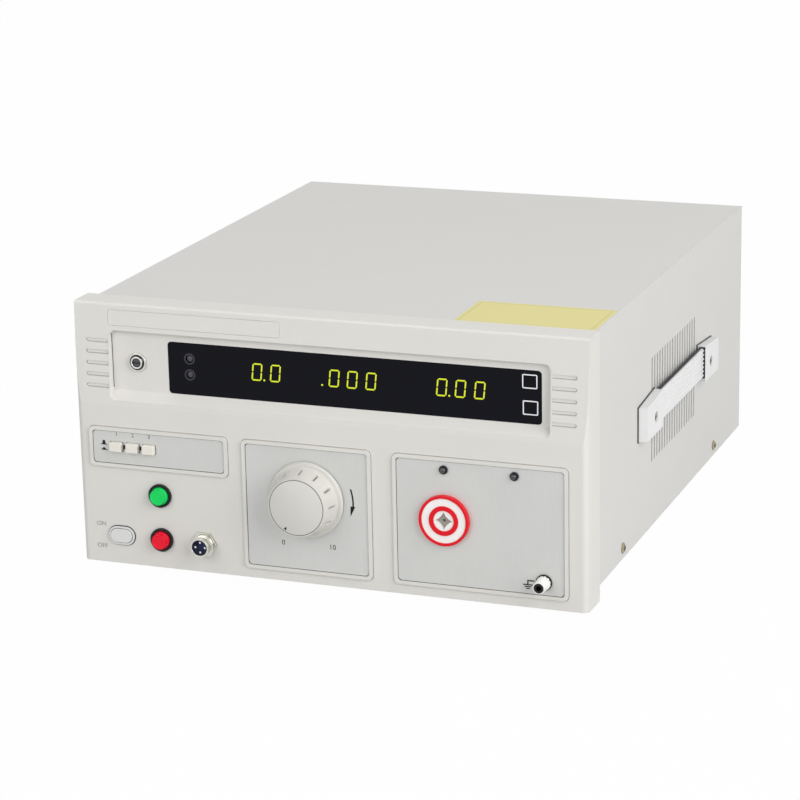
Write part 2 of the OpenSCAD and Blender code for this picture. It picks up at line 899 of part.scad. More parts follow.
module remote_connector() {
    color("#c3bd9c") difference() {
        union() {
            face_cyl(connector_x, connector_z, -barrel_proud, -nut_t, barrel_r);
            placed(connector_x, connector_z, 0) forward() cylinder(h = nut_t, r = nut_r, $fn = 6);
            face_cyl(connector_x, connector_z, 0, connector_back, connector_thread_r);
            placed(connector_x, connector_z, sub_back + nut_t) forward()
                cylinder(h = nut_t, r = nut_r, $fn = 6);
        }
        face_cyl(connector_x, connector_z, -barrel_proud - over, connector_back + over,
            barrel_r - barrel_wall);
    }
}

module connector_insert() {
    face = -barrel_proud + insert_sink;
    color("#23364f") difference() {
        face_cyl(connector_x, connector_z, face, connector_back, barrel_r - barrel_wall - running);
        connector_pin_places() face_cyl(0, 0, face - over, connector_back + over, pin_r);
    }
}

module connector_pin_places() {
    for (i = [0:pin_count - 1]) {
        a = i * 360 / pin_count;
        translate([connector_x + pin_circle * cos(a), 0, connector_z + pin_circle * sin(a)]) children();
    }
}

module connector_pins() {
    face = -barrel_proud + insert_sink;
    color("#d8c27a") connector_pin_places()
        face_cyl(0, 0, face - pin_l, connector_back + pin_l / 2, pin_r);
}

hv_ring_r = hv_ring_d / 2;
hv_ring_w = 2.2;
hv_inner_w = 3.6;
hv_flange_r = hv_ring_r - hv_ring_w;
hv_flange_proud = 4;
hv_ring_proud = 4.8;
hv_barrel_r = 12;
hv_barrel_l = 34;
hv_groove_r = 11.5;
hv_groove_t = 1;
diamond_side = 9.8;
diamond_hollow = 1;
contact_sink = 2;
contact_l = 15;
contact_wall = 3;

// Square on its corner with hollow sides
module diamond(side, y0, y1) {
    r = (side * side / 4 + diamond_hollow * diamond_hollow) / (2 * diamond_hollow);
    placed(hv_x, hv_z, y1) forward() rotate(45) linear_extrude(y1 - y0) difference() {
        square(side, center = true);
        for (i = [0:3]) rotate(i * 90) translate([side / 2 - diamond_hollow + r, 0]) circle(r = r);
    }
}

module hv_insulator() {
    groove_in_r = hv_groove_r - hv_inner_w;
    color("#efeeea") difference() {
        union() {
            face_cyl(hv_x, hv_z, -hv_flange_proud, -plate_t, hv_flange_r);
            face_cyl(hv_x, hv_z, -plate_t, hv_barrel_l, hv_barrel_r);
        }
        difference() {
            face_cyl(hv_x, hv_z, -hv_flange_proud - over, hv_groove_t - hv_flange_proud, hv_groove_r);
            face_cyl(hv_x, hv_z, -hv_flange_proud - 2 * over, over, groove_in_r);
        }
        diamond(diamond_side, -hv_flange_proud - over, contact_l - hv_flange_proud + contact_sink);
    }
}

module hv_rings() {
    color("#d8123a") {
        difference() {
            face_cyl(hv_x, hv_z, -hv_ring_proud, -plate_t, hv_ring_r);
            face_cyl(hv_x, hv_z, -hv_ring_proud - over, over, hv_flange_r + running);
        }
        difference() {
            face_cyl(hv_x, hv_z, -hv_ring_proud, hv_groove_t - hv_flange_proud, hv_groove_r - running);
            face_cyl(hv_x, hv_z, -hv_ring_proud - over, over, hv_groove_r - hv_inner_w + running);
        }
    }
}

module hv_contact() {
    front = contact_sink - hv_flange_proud;
    color("#9a9b9c") difference() {
        diamond(diamond_side - running, front, front + contact_l);
        face_cyl(hv_x, hv_z, front - over, front + contact_l - contact_wall, hv_socket_d / 2);
    }
}

lamp_r = 3.35;
lamp_body_r = 2.9;
lamp_lens_r = 2.3;
lamp_proud = 1.6;

module lamp_holders() {
    color("#26272a") for (i = [0, 1]) {
        x = lamp_x + i * lamp_gap;
        difference() {
            union() {
                face_cyl(x, lamp_z, -plate_t - lamp_proud, -plate_t, lamp_r);
                face_cyl(x, lamp_z, -plate_t, sub_back + lamp_proud, lamp_body_r);
            }
            face_cyl(x, lamp_z, -plate_t - lamp_proud - over, sub_back + lamp_proud + over,
                lamp_lens_r + running);
        }
    }
}

module lamp_lenses() {
    color("#6b3a3a") for (i = [0, 1]) {
        x = lamp_x + i * lamp_gap;
        face_cyl(x, lamp_z, -plate_t - lamp_proud, sub_back + lamp_proud, lamp_lens_r);
        placed(x, lamp_z, -plate_t - lamp_proud) intersection() {
            sphere(r = lamp_lens_r);
            rotate([90, 0, 0]) cylinder(h = lamp_lens_r, r = lamp_lens_r);
        }
    }
}

ground_washer_r = 6.2;
ground_washer_t = 1.5;
ground_stud_r = 2.9;
ground_reach = 14;
ground_cap_r = 5.6;
ground_tip_r = 4.5;
ground_socket_l = 10;
ground_flutes = 12;

module ground_post() {
    color("#d5d5d0") difference() {
        union() {
            face_cyl(ground_x, ground_z, -plate_t - ground_washer_t, -plate_t, ground_washer_r);
            face_cyl(ground_x, ground_z, -plate_t - ground_reach, sub_back + 4 * pan_sheet, ground_stud_r);
            face_cyl(ground_x, ground_z, sub_back, sub_back + 2 * pan_sheet, ground_washer_r);
        }
        face_cyl(ground_x, ground_z, -plate_t - ground_reach - over,
            -plate_t - ground_reach + ground_socket_l, ground_socket_d / 2);
    }
}

module ground_cap() {
    y0 = -plate_t - ground_reach + play;
    y1 = -plate_t - ground_washer_t - play;
    groove_r = ground_cap_r / 10;
    color("#ecebe6") difference() {
        face_cyl(ground_x, ground_z, y0, y1, ground_tip_r, ground_cap_r);
        face_cyl(ground_x, ground_z, y0 - over, y1 + over, ground_stud_r + running);
        for (i = [0:ground_flutes - 1]) {
            a = i * 360 / ground_flutes;
            face_cyl(ground_x + ground_cap_r * cos(a), ground_z + ground_cap_r * sin(a),
                y0 - over, y1 + over, groove_r);
        }
    }
}

// KNOB AND VARIABLE TRANSFORMER

skirt_r = skirt_d / 2;
skirt_t = 2.6;
knob_r = knob_face_d / 2;
knob_base_r = knob_r + 4.2;
knob_back = -plate_t - knob_gap;
knob_front = knob_back - knob_h;
knob_wall = 2.4;
hub_r = 7;
disc_r = knob_r - 1.8;
disc_sink = 1;
flute_w = 1.6;
flute_l = 8;
flute_depth = 2.2;
pointer_w = 2.6;
pointer_l = 3.2;
pointer_in = 1;
pointer_depth = 0.5;
// Angle of the pointer to the left of straight down, at the low end of the travel
pointer_angle = 28;
shaft_r = shaft_d / 2;
shaft_front = knob_front + 2 * knob_wall;
bush_r = shaft_r + 3;

module voltage_knob() {
    slope = atan((knob_base_r - knob_r) / (knob_h - skirt_t));
    mid_y = knob_back - skirt_t - (knob_h - skirt_t) * 0.45;
    mid_r = (knob_base_r + knob_r) / 2;
    color("#dbdad4") difference() {
        union() {
            face_cyl(knob_x, knob_z, knob_back - skirt_t, knob_back, skirt_r - skirt_t / 3, skirt_r);
            face_cyl(knob_x, knob_z, knob_front, knob_back - skirt_t, knob_r, knob_base_r);
        }
        difference() {
            face_cyl(knob_x, knob_z, knob_front + 2 * knob_wall, knob_back + over, knob_r - knob_wall);
            face_cyl(knob_x, knob_z, knob_front, knob_back + 2 * over, hub_r);
        }
        face_cyl(knob_x, knob_z, shaft_front, knob_back + over, shaft_r + running);
        face_cyl(knob_x, knob_z, knob_front - over, knob_front + disc_sink, disc_r + running);
        for (i = [0:flute_count - 1])
            placed(knob_x, knob_z, mid_y) rotate([0, i * 360 / flute_count, 0])
                translate([0, 0, mid_r]) rotate([slope, 0, 0])
                    cube([flute_w, flute_l, flute_depth], center = true);
    }
}

module knob_cap() {
    color("#d6d5d0") difference() {
        face_cyl(knob_x, knob_z, knob_front - disc_proud, knob_front + disc_sink, disc_r);
        placed(knob_x, knob_z, knob_front - disc_proud + pointer_depth) forward()
            rotate(-pointer_angle) translate([0, pointer_in - disc_r])
                linear_extrude(pointer_depth + over)
                    polygon([[-pointer_w / 2, 0], [pointer_w / 2, 0], [0, pointer_l]]);
    }
}

winding_r = variac_d / 2 * upward;
winding_t = 3;
winding_in_r = 19;
winding_l = 40;
base_t = 3;
base_front = sub_back;
winding_y = base_front + base_t;
winding_back = winding_y + winding_l;
brush_w = 9;
brush_h = 3;
arm_t = 4;
arm_w = 14;
arm_hub_r = 9;
shaft_back = winding_back + play + brush_h + arm_t + 6;

module knob_shaft() {
    color("#b5b7b8") face_cyl(knob_x, knob_z, shaft_front, shaft_back, shaft_r);
}

module variac_base() {
    color("#8f9294") difference() {
        union() {
            face_cyl(knob_x, knob_z, base_front, winding_y, winding_r - winding_t);
            face_cyl(knob_x, knob_z, bezel_wall, base_front, bush_r);
            face_cyl(knob_x, knob_z, winding_y, winding_y + winding_l / 2, bush_r);
        }
        face_cyl(knob_x, knob_z, bezel_wall - over, winding_back, shaft_r + running);
    }
}

module variac_core() {
    color("#6d6f72") difference() {
        face_cyl(knob_x, knob_z, winding_y + winding_t + play, winding_back - winding_t - play,
            winding_r - winding_t - play);
        face_cyl(knob_x, knob_z, 0, winding_back, winding_in_r + winding_t + play);
    }
}

module variac_winding() {
    color("#b4713a") difference() {
        face_cyl(knob_x, knob_z, winding_y, winding_back, winding_r);
        face_cyl(knob_x, knob_z, winding_y - over, winding_back + over, winding_in_r);
        difference() {
            face_cyl(knob_x, knob_z, winding_y + winding_t, winding_back - winding_t,
                winding_r - winding_t);
            face_cyl(knob_x, knob_z, 0, winding_back + over, winding_in_r + winding_t);
        }
    }
}

// Arm that carries the carbon brush over the end of the winding
module brush_arm() {
    track_r = (winding_r + winding_in_r) / 2;
    y0 = winding_back + play;
    color("#7c7466") difference() {
        union() {
            placed(knob_x, knob_z) rotate([0, 180 + pointer_angle, 0]) {
                translate([-arm_w / 2, y0 + brush_h, 0]) cube([arm_w, arm_t, track_r + brush_w / 2]);
                translate([-brush_w / 2, y0, track_r - brush_w / 2]) cube([brush_w, brush_h, brush_w]);
            }
            face_cyl(knob_x, knob_z, y0 + brush_h, shaft_back, arm_hub_r);
        }
        face_cyl(knob_x, knob_z, y0 - over, shaft_back + over, shaft_r + running);
    }
}

// HIGH-VOLTAGE TRANSFORMER

hv_core_x = 85 * across;
hv_core_y = 250;
leg_share = 1 / 3;
leg_w = hv_core_w * leg_share;
yoke = leg_w / 2;
core_window = (hv_core_w - leg_w - 2 * yoke) / 2;
coil_t = core_window - 2 * play;
foot_plate_t = 2;
core_low = pan_top + foot_plate_t;
core_z = core_low + hv_core_h / 2;

module hv_core() {
    color("#55585b") difference() {
        face_box(hv_core_x, core_z, hv_core_w, hv_core_h, hv_core_y, hv_core_y + hv_stack);
        for (s = [-1, 1])
            face_box(hv_core_x + s * (leg_w + core_window) / 2, core_z, core_window,
                hv_core_h - 2 * yoke, hv_core_y - over, hv_core_y + hv_stack + over);
    }
}

module hv_windings() {
    coil_h = hv_core_h - 2 * yoke - 2 * play;
    color("#8f2b22") difference() {
        placed(hv_core_x, core_z - coil_h / 2, hv_core_y + hv_stack / 2) linear_extrude(coil_h)
            rounded_rect(leg_w + 2 * coil_t, hv_stack + 2 * coil_t, coil_t / 2);
        face_box(hv_core_x, core_z, leg_w + 2 * play, hv_core_h, hv_core_y - play,
            hv_core_y + hv_stack + play);
    }
}

// Strap frame over the core, with feet screwed to the pan
module hv_frame() {
    strap_w = hv_stack * 0.6;
    foot_l = 14;
    y0 = hv_core_y + (hv_stack - strap_w) / 2;
    core_top = core_low + hv_core_h;
    color("#9fa3a6") {
        difference() {
            face_box(hv_core_x, (pan_top + core_top + foot_plate_t) / 2, hv_core_w + 2 * foot_plate_t,
                core_top + foot_plate_t - pan_top, y0, y0 + strap_w);
            face_box(hv_core_x, core_z, hv_core_w, hv_core_h, y0 - over, y0 + strap_w + over);
        }
        for (s = [-1, 1])
            face_box(hv_core_x + s * (hv_core_w / 2 + foot_l / 2), pan_top + foot_plate_t / 2,
                foot_l, foot_plate_t, y0, y0 + strap_w);
    }
}

// MAIN BOARD

board_x = -105 * across;
board_mid_y = 255;
board_w = 150 * across;
board_l = 190;
board_lift = 12;
stud_r = 3;
board_studs = [for (sx = [-1, 1], sy = [-1, 1])
    [board_x + sx * (board_w / 2 - 2 * stud_r), board_mid_y + sy * (board_l / 2 - 2 * stud_r)]];
main_z = pan_top + board_lift;
capacitor_r = 12;
capacitor_h = 35;
relay_w = 20;
sink_w = 60;
sink_h = 38;
fin_count = 7;

module main_board() {
    color("#2f6b3c") placed(board_x - board_w / 2, main_z, board_mid_y - board_l / 2)
        cube([board_w, board_l, board_t]);
}

module board_parts() {
    top = main_z + board_t;
    fin_pitch = sink_w / fin_count;
    color("#34373c") {
        for (i = [0, 1])
            placed(board_x - board_w / 4, top, board_mid_y - board_l / 4 + i * 3 * capacitor_r)
                cylinder(h = capacitor_h, r = capacitor_r);
        for (i = [0:2])
            placed(board_x + board_w / 8, top, board_mid_y - board_l / 3 + i * relay_w * 1.4)
                cube([relay_w, relay_w, relay_w * 0.8]);
        placed(board_x - sink_w / 2, top, board_mid_y + board_l / 4) {
            cube([sink_w, fin_pitch, sink_h]);
            for (i = [0:fin_count - 1])
                translate([i * fin_pitch, 0, 0]) cube([fin_pitch / 3, 4 * fin_pitch, sink_h]);
        }
    }
}

// REAR

fan_x = -110 * across;
fan_z = 105 * upward;
fan_bore_r = fan_side * 0.47;
fan_corner_r = 4;
fan_screw_share = 0.4475;
fan_screw_r = screw_r;
fan_hub_r = fan_side * 0.2;
fan_front = rear_in_y - fan_t;
strut_t = 3;
strut_front = fan_front + strut_t / 4;
blade_count = 7;
blade_t = 1.6;
spindle_r = 1.5;
wire_d = 1.8;
grille_rings = 4;

module fan_corners() {
    for (sx = [-1, 1], sz = [-1, 1])
        translate([fan_x + sx * fan_side * fan_screw_share, 0, fan_z + sz * fan_side * fan_screw_share])
            children();
}

module fan_frame() {
    color("#25272a") difference() {
        union() {
            difference() {
                face_plate(fan_x, fan_z, fan_side, fan_side, fan_corner_r, fan_front, rear_in_y);
                face_cyl(fan_x, fan_z, fan_front - over, rear_in_y + over, fan_bore_r);
            }
            face_cyl(fan_x, fan_z, strut_front, strut_front + strut_t, fan_hub_r);
            for (i = [0:2])
                placed(fan_x, fan_z, strut_front + strut_t / 4) rotate([0, 60 + i * 120, 0])
                    translate([-strut_t / 2, 0, fan_hub_r / 2])
                        cube([strut_t, strut_t / 2, (fan_bore_r + fan_side / 2 - fan_hub_r) / 2]);
        }
        face_cyl(fan_x, fan_z, fan_front - over, strut_front + strut_t + over, spindle_r + running);
        fan_corners() face_cyl(0, 0, fan_front - over, rear_in_y + over, fan_screw_r + screw_play);
    }
}

module fan_rotor() {
    y0 = strut_front + strut_t + play;
    y1 = rear_in_y - 2 * play;
    reach = fan_bore_r - 2 * play - blade_t;
    root_r = fan_hub_r * 0.8;
    color("#33363a") {
        face_cyl(fan_x, fan_z, y0, y1, fan_hub_r);
        face_cyl(fan_x, fan_z, strut_front, y0, spindle_r);
        for (i = [0:blade_count - 1])
            placed(fan_x, fan_z, (y0 + y1) / 2) rotate([0, i * 360 / blade_count, 0])
                translate([0, 0, (root_r + reach) / 2]) rotate([0, 0, 40])
                    cube([blade_t, (y1 - y0) * 0.9, reach - root_r], center = true);
    }
}

module fan_grille() {
    r = wire_d / 2;
    ring_pitch = (fan_bore_r - fan_hub_r / 2) / (grille_rings - 1);
    color("#b9babc") {
        placed(fan_x, fan_z, rear_y + r) inward() for (i = [0:grille_rings - 1])
            rotate_extrude() translate([fan_hub_r / 2 + i * ring_pitch, 0]) circle(r = r, $fn = 16);
        difference() {
            for (a = [45, 135])
                placed(fan_x, fan_z, rear_y + r) rotate([0, a, 0])
                    cube([wire_d, wire_d, 2 * fan_side * fan_screw_share * sqrt(2) + 4 * screw_r],
                        center = true);
            fan_corners() face_cyl(0, 0, rear_y - over, rear_y + wire_d + over, fan_screw_r - screw_play);
        }
    }
}

inlet_x = 120 * across;
inlet_z = 45;
inlet_body_w = 27;
inlet_body_h = 19.6;
inlet_flange_w = 48;
inlet_flange_h = 23;
inlet_flange_t = 3;
inlet_l = 22;
inlet_wall = 1.6;
inlet_cavity = 17;
inlet_pin_w = 2;
inlet_pin_h = 4;
inlet_pin_l = 11;
inlet_pin_x = 7;
inlet_earth_z = 2;

module mains_inlet() {
    face = rear_y + inlet_flange_t;
    color("#1f2022") difference() {
        union() {
            face_plate(inlet_x, inlet_z, inlet_flange_w, inlet_flange_h, 3 * inlet_wall, rear_y, face);
            face_box(inlet_x, inlet_z, inlet_body_w, inlet_body_h, rear_y - inlet_l, rear_y);
        }
        face_plate(inlet_x, inlet_z, inlet_body_w - 2 * inlet_wall, inlet_body_h - 2 * inlet_wall,
            inlet_wall, face - inlet_cavity, face + over);
        inlet_pin_places() face_box(0, 0, inlet_pin_w, inlet_pin_h, rear_y - inlet_l - over, face);
        for (s = [-1, 1])
            face_cyl(inlet_x + s * (inlet_body_w + inlet_flange_w) / 4, inlet_z, rear_y - over,
                face + over, screw_r);
    }
}

module inlet_pin_places() {
    for (p = [[-inlet_pin_x, -inlet_earth_z], [0, inlet_earth_z], [inlet_pin_x, -inlet_earth_z]])
        translate([inlet_x + p[0], 0, inlet_z + p[1]]) children();
}

module inlet_pins() {
    bottom = rear_y + inlet_flange_t - inlet_cavity;
    color("#c8b26a") inlet_pin_places()
        face_box(0, 0, inlet_pin_w - 2 * running, inlet_pin_h - 2 * running,
            rear_y - inlet_l - inlet_pin_l / 2, bottom + inlet_pin_l);
}

fuse_x = 168 * across;
fuse_body_r = 6.3;
fuse_flange_r = 9;
fuse_bore_r = 4.5;
fuse_cap_r = 7;
fuse_l = 36;

module fuse_holder() {
    color("#1f2022") difference() {
        union() {
            face_cyl(fuse_x, inlet_z, rear_y, rear_y + fuse_flange_t, fuse_flange_r);
            face_cyl(fuse_x, inlet_z, rear_y - fuse_l, rear_y, fuse_body_r);
        }
        face_cyl(fuse_x, inlet_z, rear_y - fuse_l + fuse_flange_t, rear_y + fuse_flange_t + over,
            fuse_bore_r + running);
    }
}

module fuse_cap() {
    y0 = rear_y + fuse_flange_t;
    slot_w = fuse_cap_r / 5;
    color("#26272a") difference() {
        union() {
            face_cyl(fuse_x, inlet_z, y0 + play, y0 + fuse_cap_h, fuse_cap_r, fuse_cap_r - slot_w / 2);
            face_cyl(fuse_x, inlet_z, rear_y - fuse_l / 2, y0 + play, fuse_bore_r);
        }
        face_box(fuse_x, inlet_z, 2 * fuse_cap_r + over, slot_w, y0 + fuse_cap_h - slot_w,
            y0 + fuse_cap_h + over);
    }
}

// SIDE HANDLES

// Middle of a handle, behind the face and above the foot of the front
handle_back = 6;
handle_y = side_mid + handle_back;
handle_z = 101.3 * upward;
// How far an end block narrows outwards and rises towards its strap
block_taper = 0.6;
block_end_taper = 2.5;
block_rise = 3.8;
// How deep the screw's seat is sunk, and its place along the block
block_sink = 2.4;
screw_share = 0.58;
block_screw_in = block_l * screw_share;
block_screw_y = handle_l / 2 - block_screw_in;
// The strap sits high in its slot, which leaves a thin wall of the block outside it
strap_margin = 2.8;
strap_h = handle_h - strap_margin;
strap_lift = 3.3;
strap_t = 1.5;
rib_count = 7;
rib_r = strap_h / rib_count / 4;
slot_gap = 0.8;
slot_wall = 0.7;
strap_gap = handle_out - slot_wall - slot_gap / 2 - rib_r - strap_t;
strap_grip = 12;

// Section of an end block, out from the case and along its height
module block_section() {
    top = handle_h / 2 + block_rise;
    polygon([[0, -handle_h / 2], [handle_out, -handle_h / 2 + block_taper],
        [handle_out, top - block_taper], [0, top]]);
}

// End block drawn with the case at x = 0 and its outer end at y = 0
module handle_block() {
    difference() {
        intersection() {
            rotate([90, 0, 0]) translate([0, 0, -block_l]) linear_extrude(block_l) block_section();
            translate([0, 0, -handle_h]) linear_extrude(2 * handle_h)
                polygon([[0, 0], [handle_out, block_end_taper], [handle_out, block_l], [0, block_l]]);
            rotate([90, 0, 90]) linear_extrude(handle_out)
                polygon([[0, -handle_h / 2], [block_l, -handle_h / 2],
                    [block_l, handle_h / 2 + block_rise], [0, handle_h / 2]]);
        }
        translate([strap_gap - play, block_l - strap_grip - play, strap_lift - strap_h / 2 - slot_gap])
            cube([handle_out - slot_wall - strap_gap + play, block_l, strap_h + 2 * slot_gap]);
        translate([0, handle_l / 2 - block_screw_y, 0]) rotate([0, 90, 0]) {
            translate([0, 0, -over]) cylinder(h = handle_out + 2 * over, r = screw_r + screw_play);
            translate([0, 0, handle_out - block_sink])
                cylinder(h = handle_out, r = side_head_r + screw_play);
        }
    }
}

module handle_strap() {
    translate([0, strap_grip - block_l, strap_lift]) rotate([90, 0, 0])
        linear_extrude(handle_l - 2 * (block_l - strap_grip)) {
            translate([strap_gap, -strap_h / 2]) square([strap_t, strap_h]);
            for (i = [0:rib_count - 1])
                translate([strap_gap + strap_t, (i - (rib_count - 1) / 2) * strap_h / rib_count])
                    circle(r = rib_r, $fn = 24);
        }
}

// Stands a shape drawn out from x = 0 on one side of the case
module on_side(side) {
    mirror([side < 0 ? 1 : 0, 0, 0]) placed(cover_w / 2, handle_z, handle_y) children();
}

module handle_ends() {
    color("#e8e8e6") for (side = [-1, 1], s = [-1, 1])
        on_side(side) mirror([0, s < 0 ? 0 : 1, 0]) translate([0, -handle_l / 2, 0]) handle_block();
}

module handle_straps() {
    color("#f0f0ee") for (side = [-1, 1])
        on_side(side) translate([0, handle_l / 2, 0]) handle_strap();
}

// Blank film on the top
label_w = 108.5;
label_l = 68;
label_t = 0.3;
label_margin = 2;
label_x = cover_w / 2 - label_margin - label_w / 2;
label_y = bezel_depth + 2 * play + label_l / 2;

module top_label() {
    color("#eee480") placed(label_x, cover_top + label_t / 2, label_y)
        cube([label_w, label_l, label_t], center = true);
}

front_bezel();
top_cover();
chassis_base();
front_subpanel();
rear_panel();
feet();
case_screws();
display_window();
display_board();
timer_display();
current_display();
voltage_display();
status_leds();
name_strip();
preset_bush();
preset_shaft();
range_plate();
knob_plate();
output_plate();
range_key_1();
range_key_2();
range_key_3();
range_switch();
start_button();
reset_button();
button_housings();
power_button();
power_switch();
remote_connector();
connector_insert();
connector_pins();
hv_insulator();
hv_rings();
hv_contact();
lamp_holders();
lamp_lenses();
ground_post();
ground_cap();
voltage_knob();
knob_cap();
knob_shaft();
brush_arm();
variac_core();
variac_winding();
variac_base();
hv_core();
hv_windings();
hv_frame();
main_board();
board_parts();
fan_frame();
fan_rotor();
fan_grille();
mains_inlet();
inlet_pins();
fuse_holder();
fuse_cap();
handle_ends();
handle_straps();
top_label();
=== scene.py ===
"""Looks of a bench withstand-voltage tester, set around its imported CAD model."""

import json
import logging
import math
from collections.abc import Callable
from dataclasses import dataclass, replace
from enum import Enum
from functools import cache

import bmesh
import bpy
from mathutils import Matrix, Vector
from mathutils.geometry import convex_hull_2d

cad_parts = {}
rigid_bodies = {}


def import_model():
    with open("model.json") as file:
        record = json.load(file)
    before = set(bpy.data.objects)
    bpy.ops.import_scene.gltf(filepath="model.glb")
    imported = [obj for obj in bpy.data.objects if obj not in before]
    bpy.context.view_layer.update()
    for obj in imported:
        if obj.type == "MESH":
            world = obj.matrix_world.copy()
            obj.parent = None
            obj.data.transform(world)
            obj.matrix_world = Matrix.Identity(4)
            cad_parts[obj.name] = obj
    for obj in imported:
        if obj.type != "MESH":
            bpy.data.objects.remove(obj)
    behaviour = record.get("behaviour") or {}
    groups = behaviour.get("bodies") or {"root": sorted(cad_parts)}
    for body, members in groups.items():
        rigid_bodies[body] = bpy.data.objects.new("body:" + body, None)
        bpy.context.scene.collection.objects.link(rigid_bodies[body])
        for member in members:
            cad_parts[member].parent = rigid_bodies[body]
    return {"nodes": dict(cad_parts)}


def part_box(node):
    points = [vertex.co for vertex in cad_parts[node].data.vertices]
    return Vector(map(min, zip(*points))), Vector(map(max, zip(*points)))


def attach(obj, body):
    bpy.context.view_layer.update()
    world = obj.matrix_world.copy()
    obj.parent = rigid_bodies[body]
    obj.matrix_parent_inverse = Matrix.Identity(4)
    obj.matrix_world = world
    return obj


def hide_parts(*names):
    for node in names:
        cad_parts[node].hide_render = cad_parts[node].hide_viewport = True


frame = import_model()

log = logging.getLogger("tester")

MM = 0.001
FACE_Y = -230.5
FOOT_Z = 9.5
SAME_PLACE = 2e-6
ON_PLANE = 1e-5
SMOOTH_DEG = 30.0
FLAT_DEG = 0.4
EDGE_DEG = 32.0
MARK_T = 0.06
LEAST_CORNER = 0.05
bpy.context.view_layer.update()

Colour = tuple[int, int, int]
Point = tuple[float, float]


class Axis(Enum):
    """The direction in which a surface was brushed, rolled or stacked."""

    X = 0
    Y = 1
    Z = 2


def spot(x: float, y: float, z: float) -> Vector:
    """Gives a place on the instrument in the frame's metres.

    Args:
        x: millimetres to the right of the middle.
        y: millimetres behind the upright lower face.
        z: millimetres above the foot of the moulded front.

    Returns:
        The same place in the shared frame.
    """
    return Vector((x, y + FACE_Y, z + FOOT_Z)) * MM


def linear(colour: Colour, shade: float = 1.0) -> tuple[float, float, float, float]:
    """Turns an sRGB colour of 0 to 255 into the linear colour that a shader takes.

    Args:
        colour: red, green and blue from 0 to 255.
        shade: factor on the linear result.

    Returns:
        Linear red, green, blue and an alpha of 1.
    """
    parts = []
    for level in colour:
        share = level / 255
        parts.append(shade * (share / 12.92 if share <= 0.04045 else ((share + 0.055) / 1.055) ** 2.4))
    return (*parts, 1.0)


def maths(operation: str) -> Callable[..., "Number"]:
    """Makes a method of Number that adds one Math node.

    Args:
        operation: Blender's name of the operation.

    Returns:
        The method, which takes a second value where the operation needs one.
    """
    def method(self: "Number", other: object = 0.0) -> "Number":
        """Adds the node and gives its output."""
        made = self.wiring.node("ShaderNodeMath", {"operation": operation}, {0: self, 1: other})
        return Number(self.wiring, made.outputs[0])
    return method


class Number:
    """A number that varies over a surface, written with Python's own operators."""

    def __init__(self, wiring: "Wiring", socket: bpy.types.NodeSocket) -> None:
        """Wraps one output socket of a tree."""
        self.wiring = wiring
        self.socket = socket

    __add__ = __radd__ = maths("ADD")
    __sub__ = maths("SUBTRACT")
    __mul__ = __rmul__ = maths("MULTIPLY")
    __truediv__ = maths("DIVIDE")
    __abs__ = maths("ABSOLUTE")
    __lt__ = maths("LESS_THAN")
    power = maths("POWER")
    sine = maths("SINE")
    most = maths("MAXIMUM")


class Wiring:
    """Nodes and links of one tree, of a material or of Geometry Nodes."""

    def __init__(self, tree: bpy.types.NodeTree) -> None:
        """Keeps the tree that nodes are added to."""
        self.tree = tree

    def node(self, kind: str, settings: dict | None = None, inputs: dict | None = None) -> bpy.types.Node:
        """Adds a node, sets it, then feeds its sockets.

        Args:
            kind: Blender's name of the node type.
            settings: the node's own properties; "stops" are a ramp's places and greys.
            inputs: values or links by socket name or number.

        Returns:
            The new node.
        """
        made = self.tree.nodes.new(kind)
        for key, value in (settings or {}).items():
            if key == "stops":
                self._set_stops(made.color_ramp, value)
            else:
                setattr(made, key, value)
        for key, value in (inputs or {}).items():
            self._feed(made.inputs[key], value)
        return made

    def _feed(self, socket: bpy.types.NodeSocket, value: object) -> None:
        """Links a value to a socket, or sets it there."""
        source = value.socket if isinstance(value, Number) else value
        if isinstance(source, bpy.types.NodeSocket):
            self.tree.links.new(source, socket)
        else:
            socket.default_value = source

    @staticmethod
    def _set_stops(ramp: bpy.types.ColorRamp, stops: list[Point]) -> None:
        """Gives a ramp its grey stops."""
        while len(ramp.elements) < len(stops):
            ramp.elements.new(1.0)
        for element, (place, grey) in zip(ramp.elements, stops):
            element.position = place
            element.color = (grey, grey, grey, 1.0)


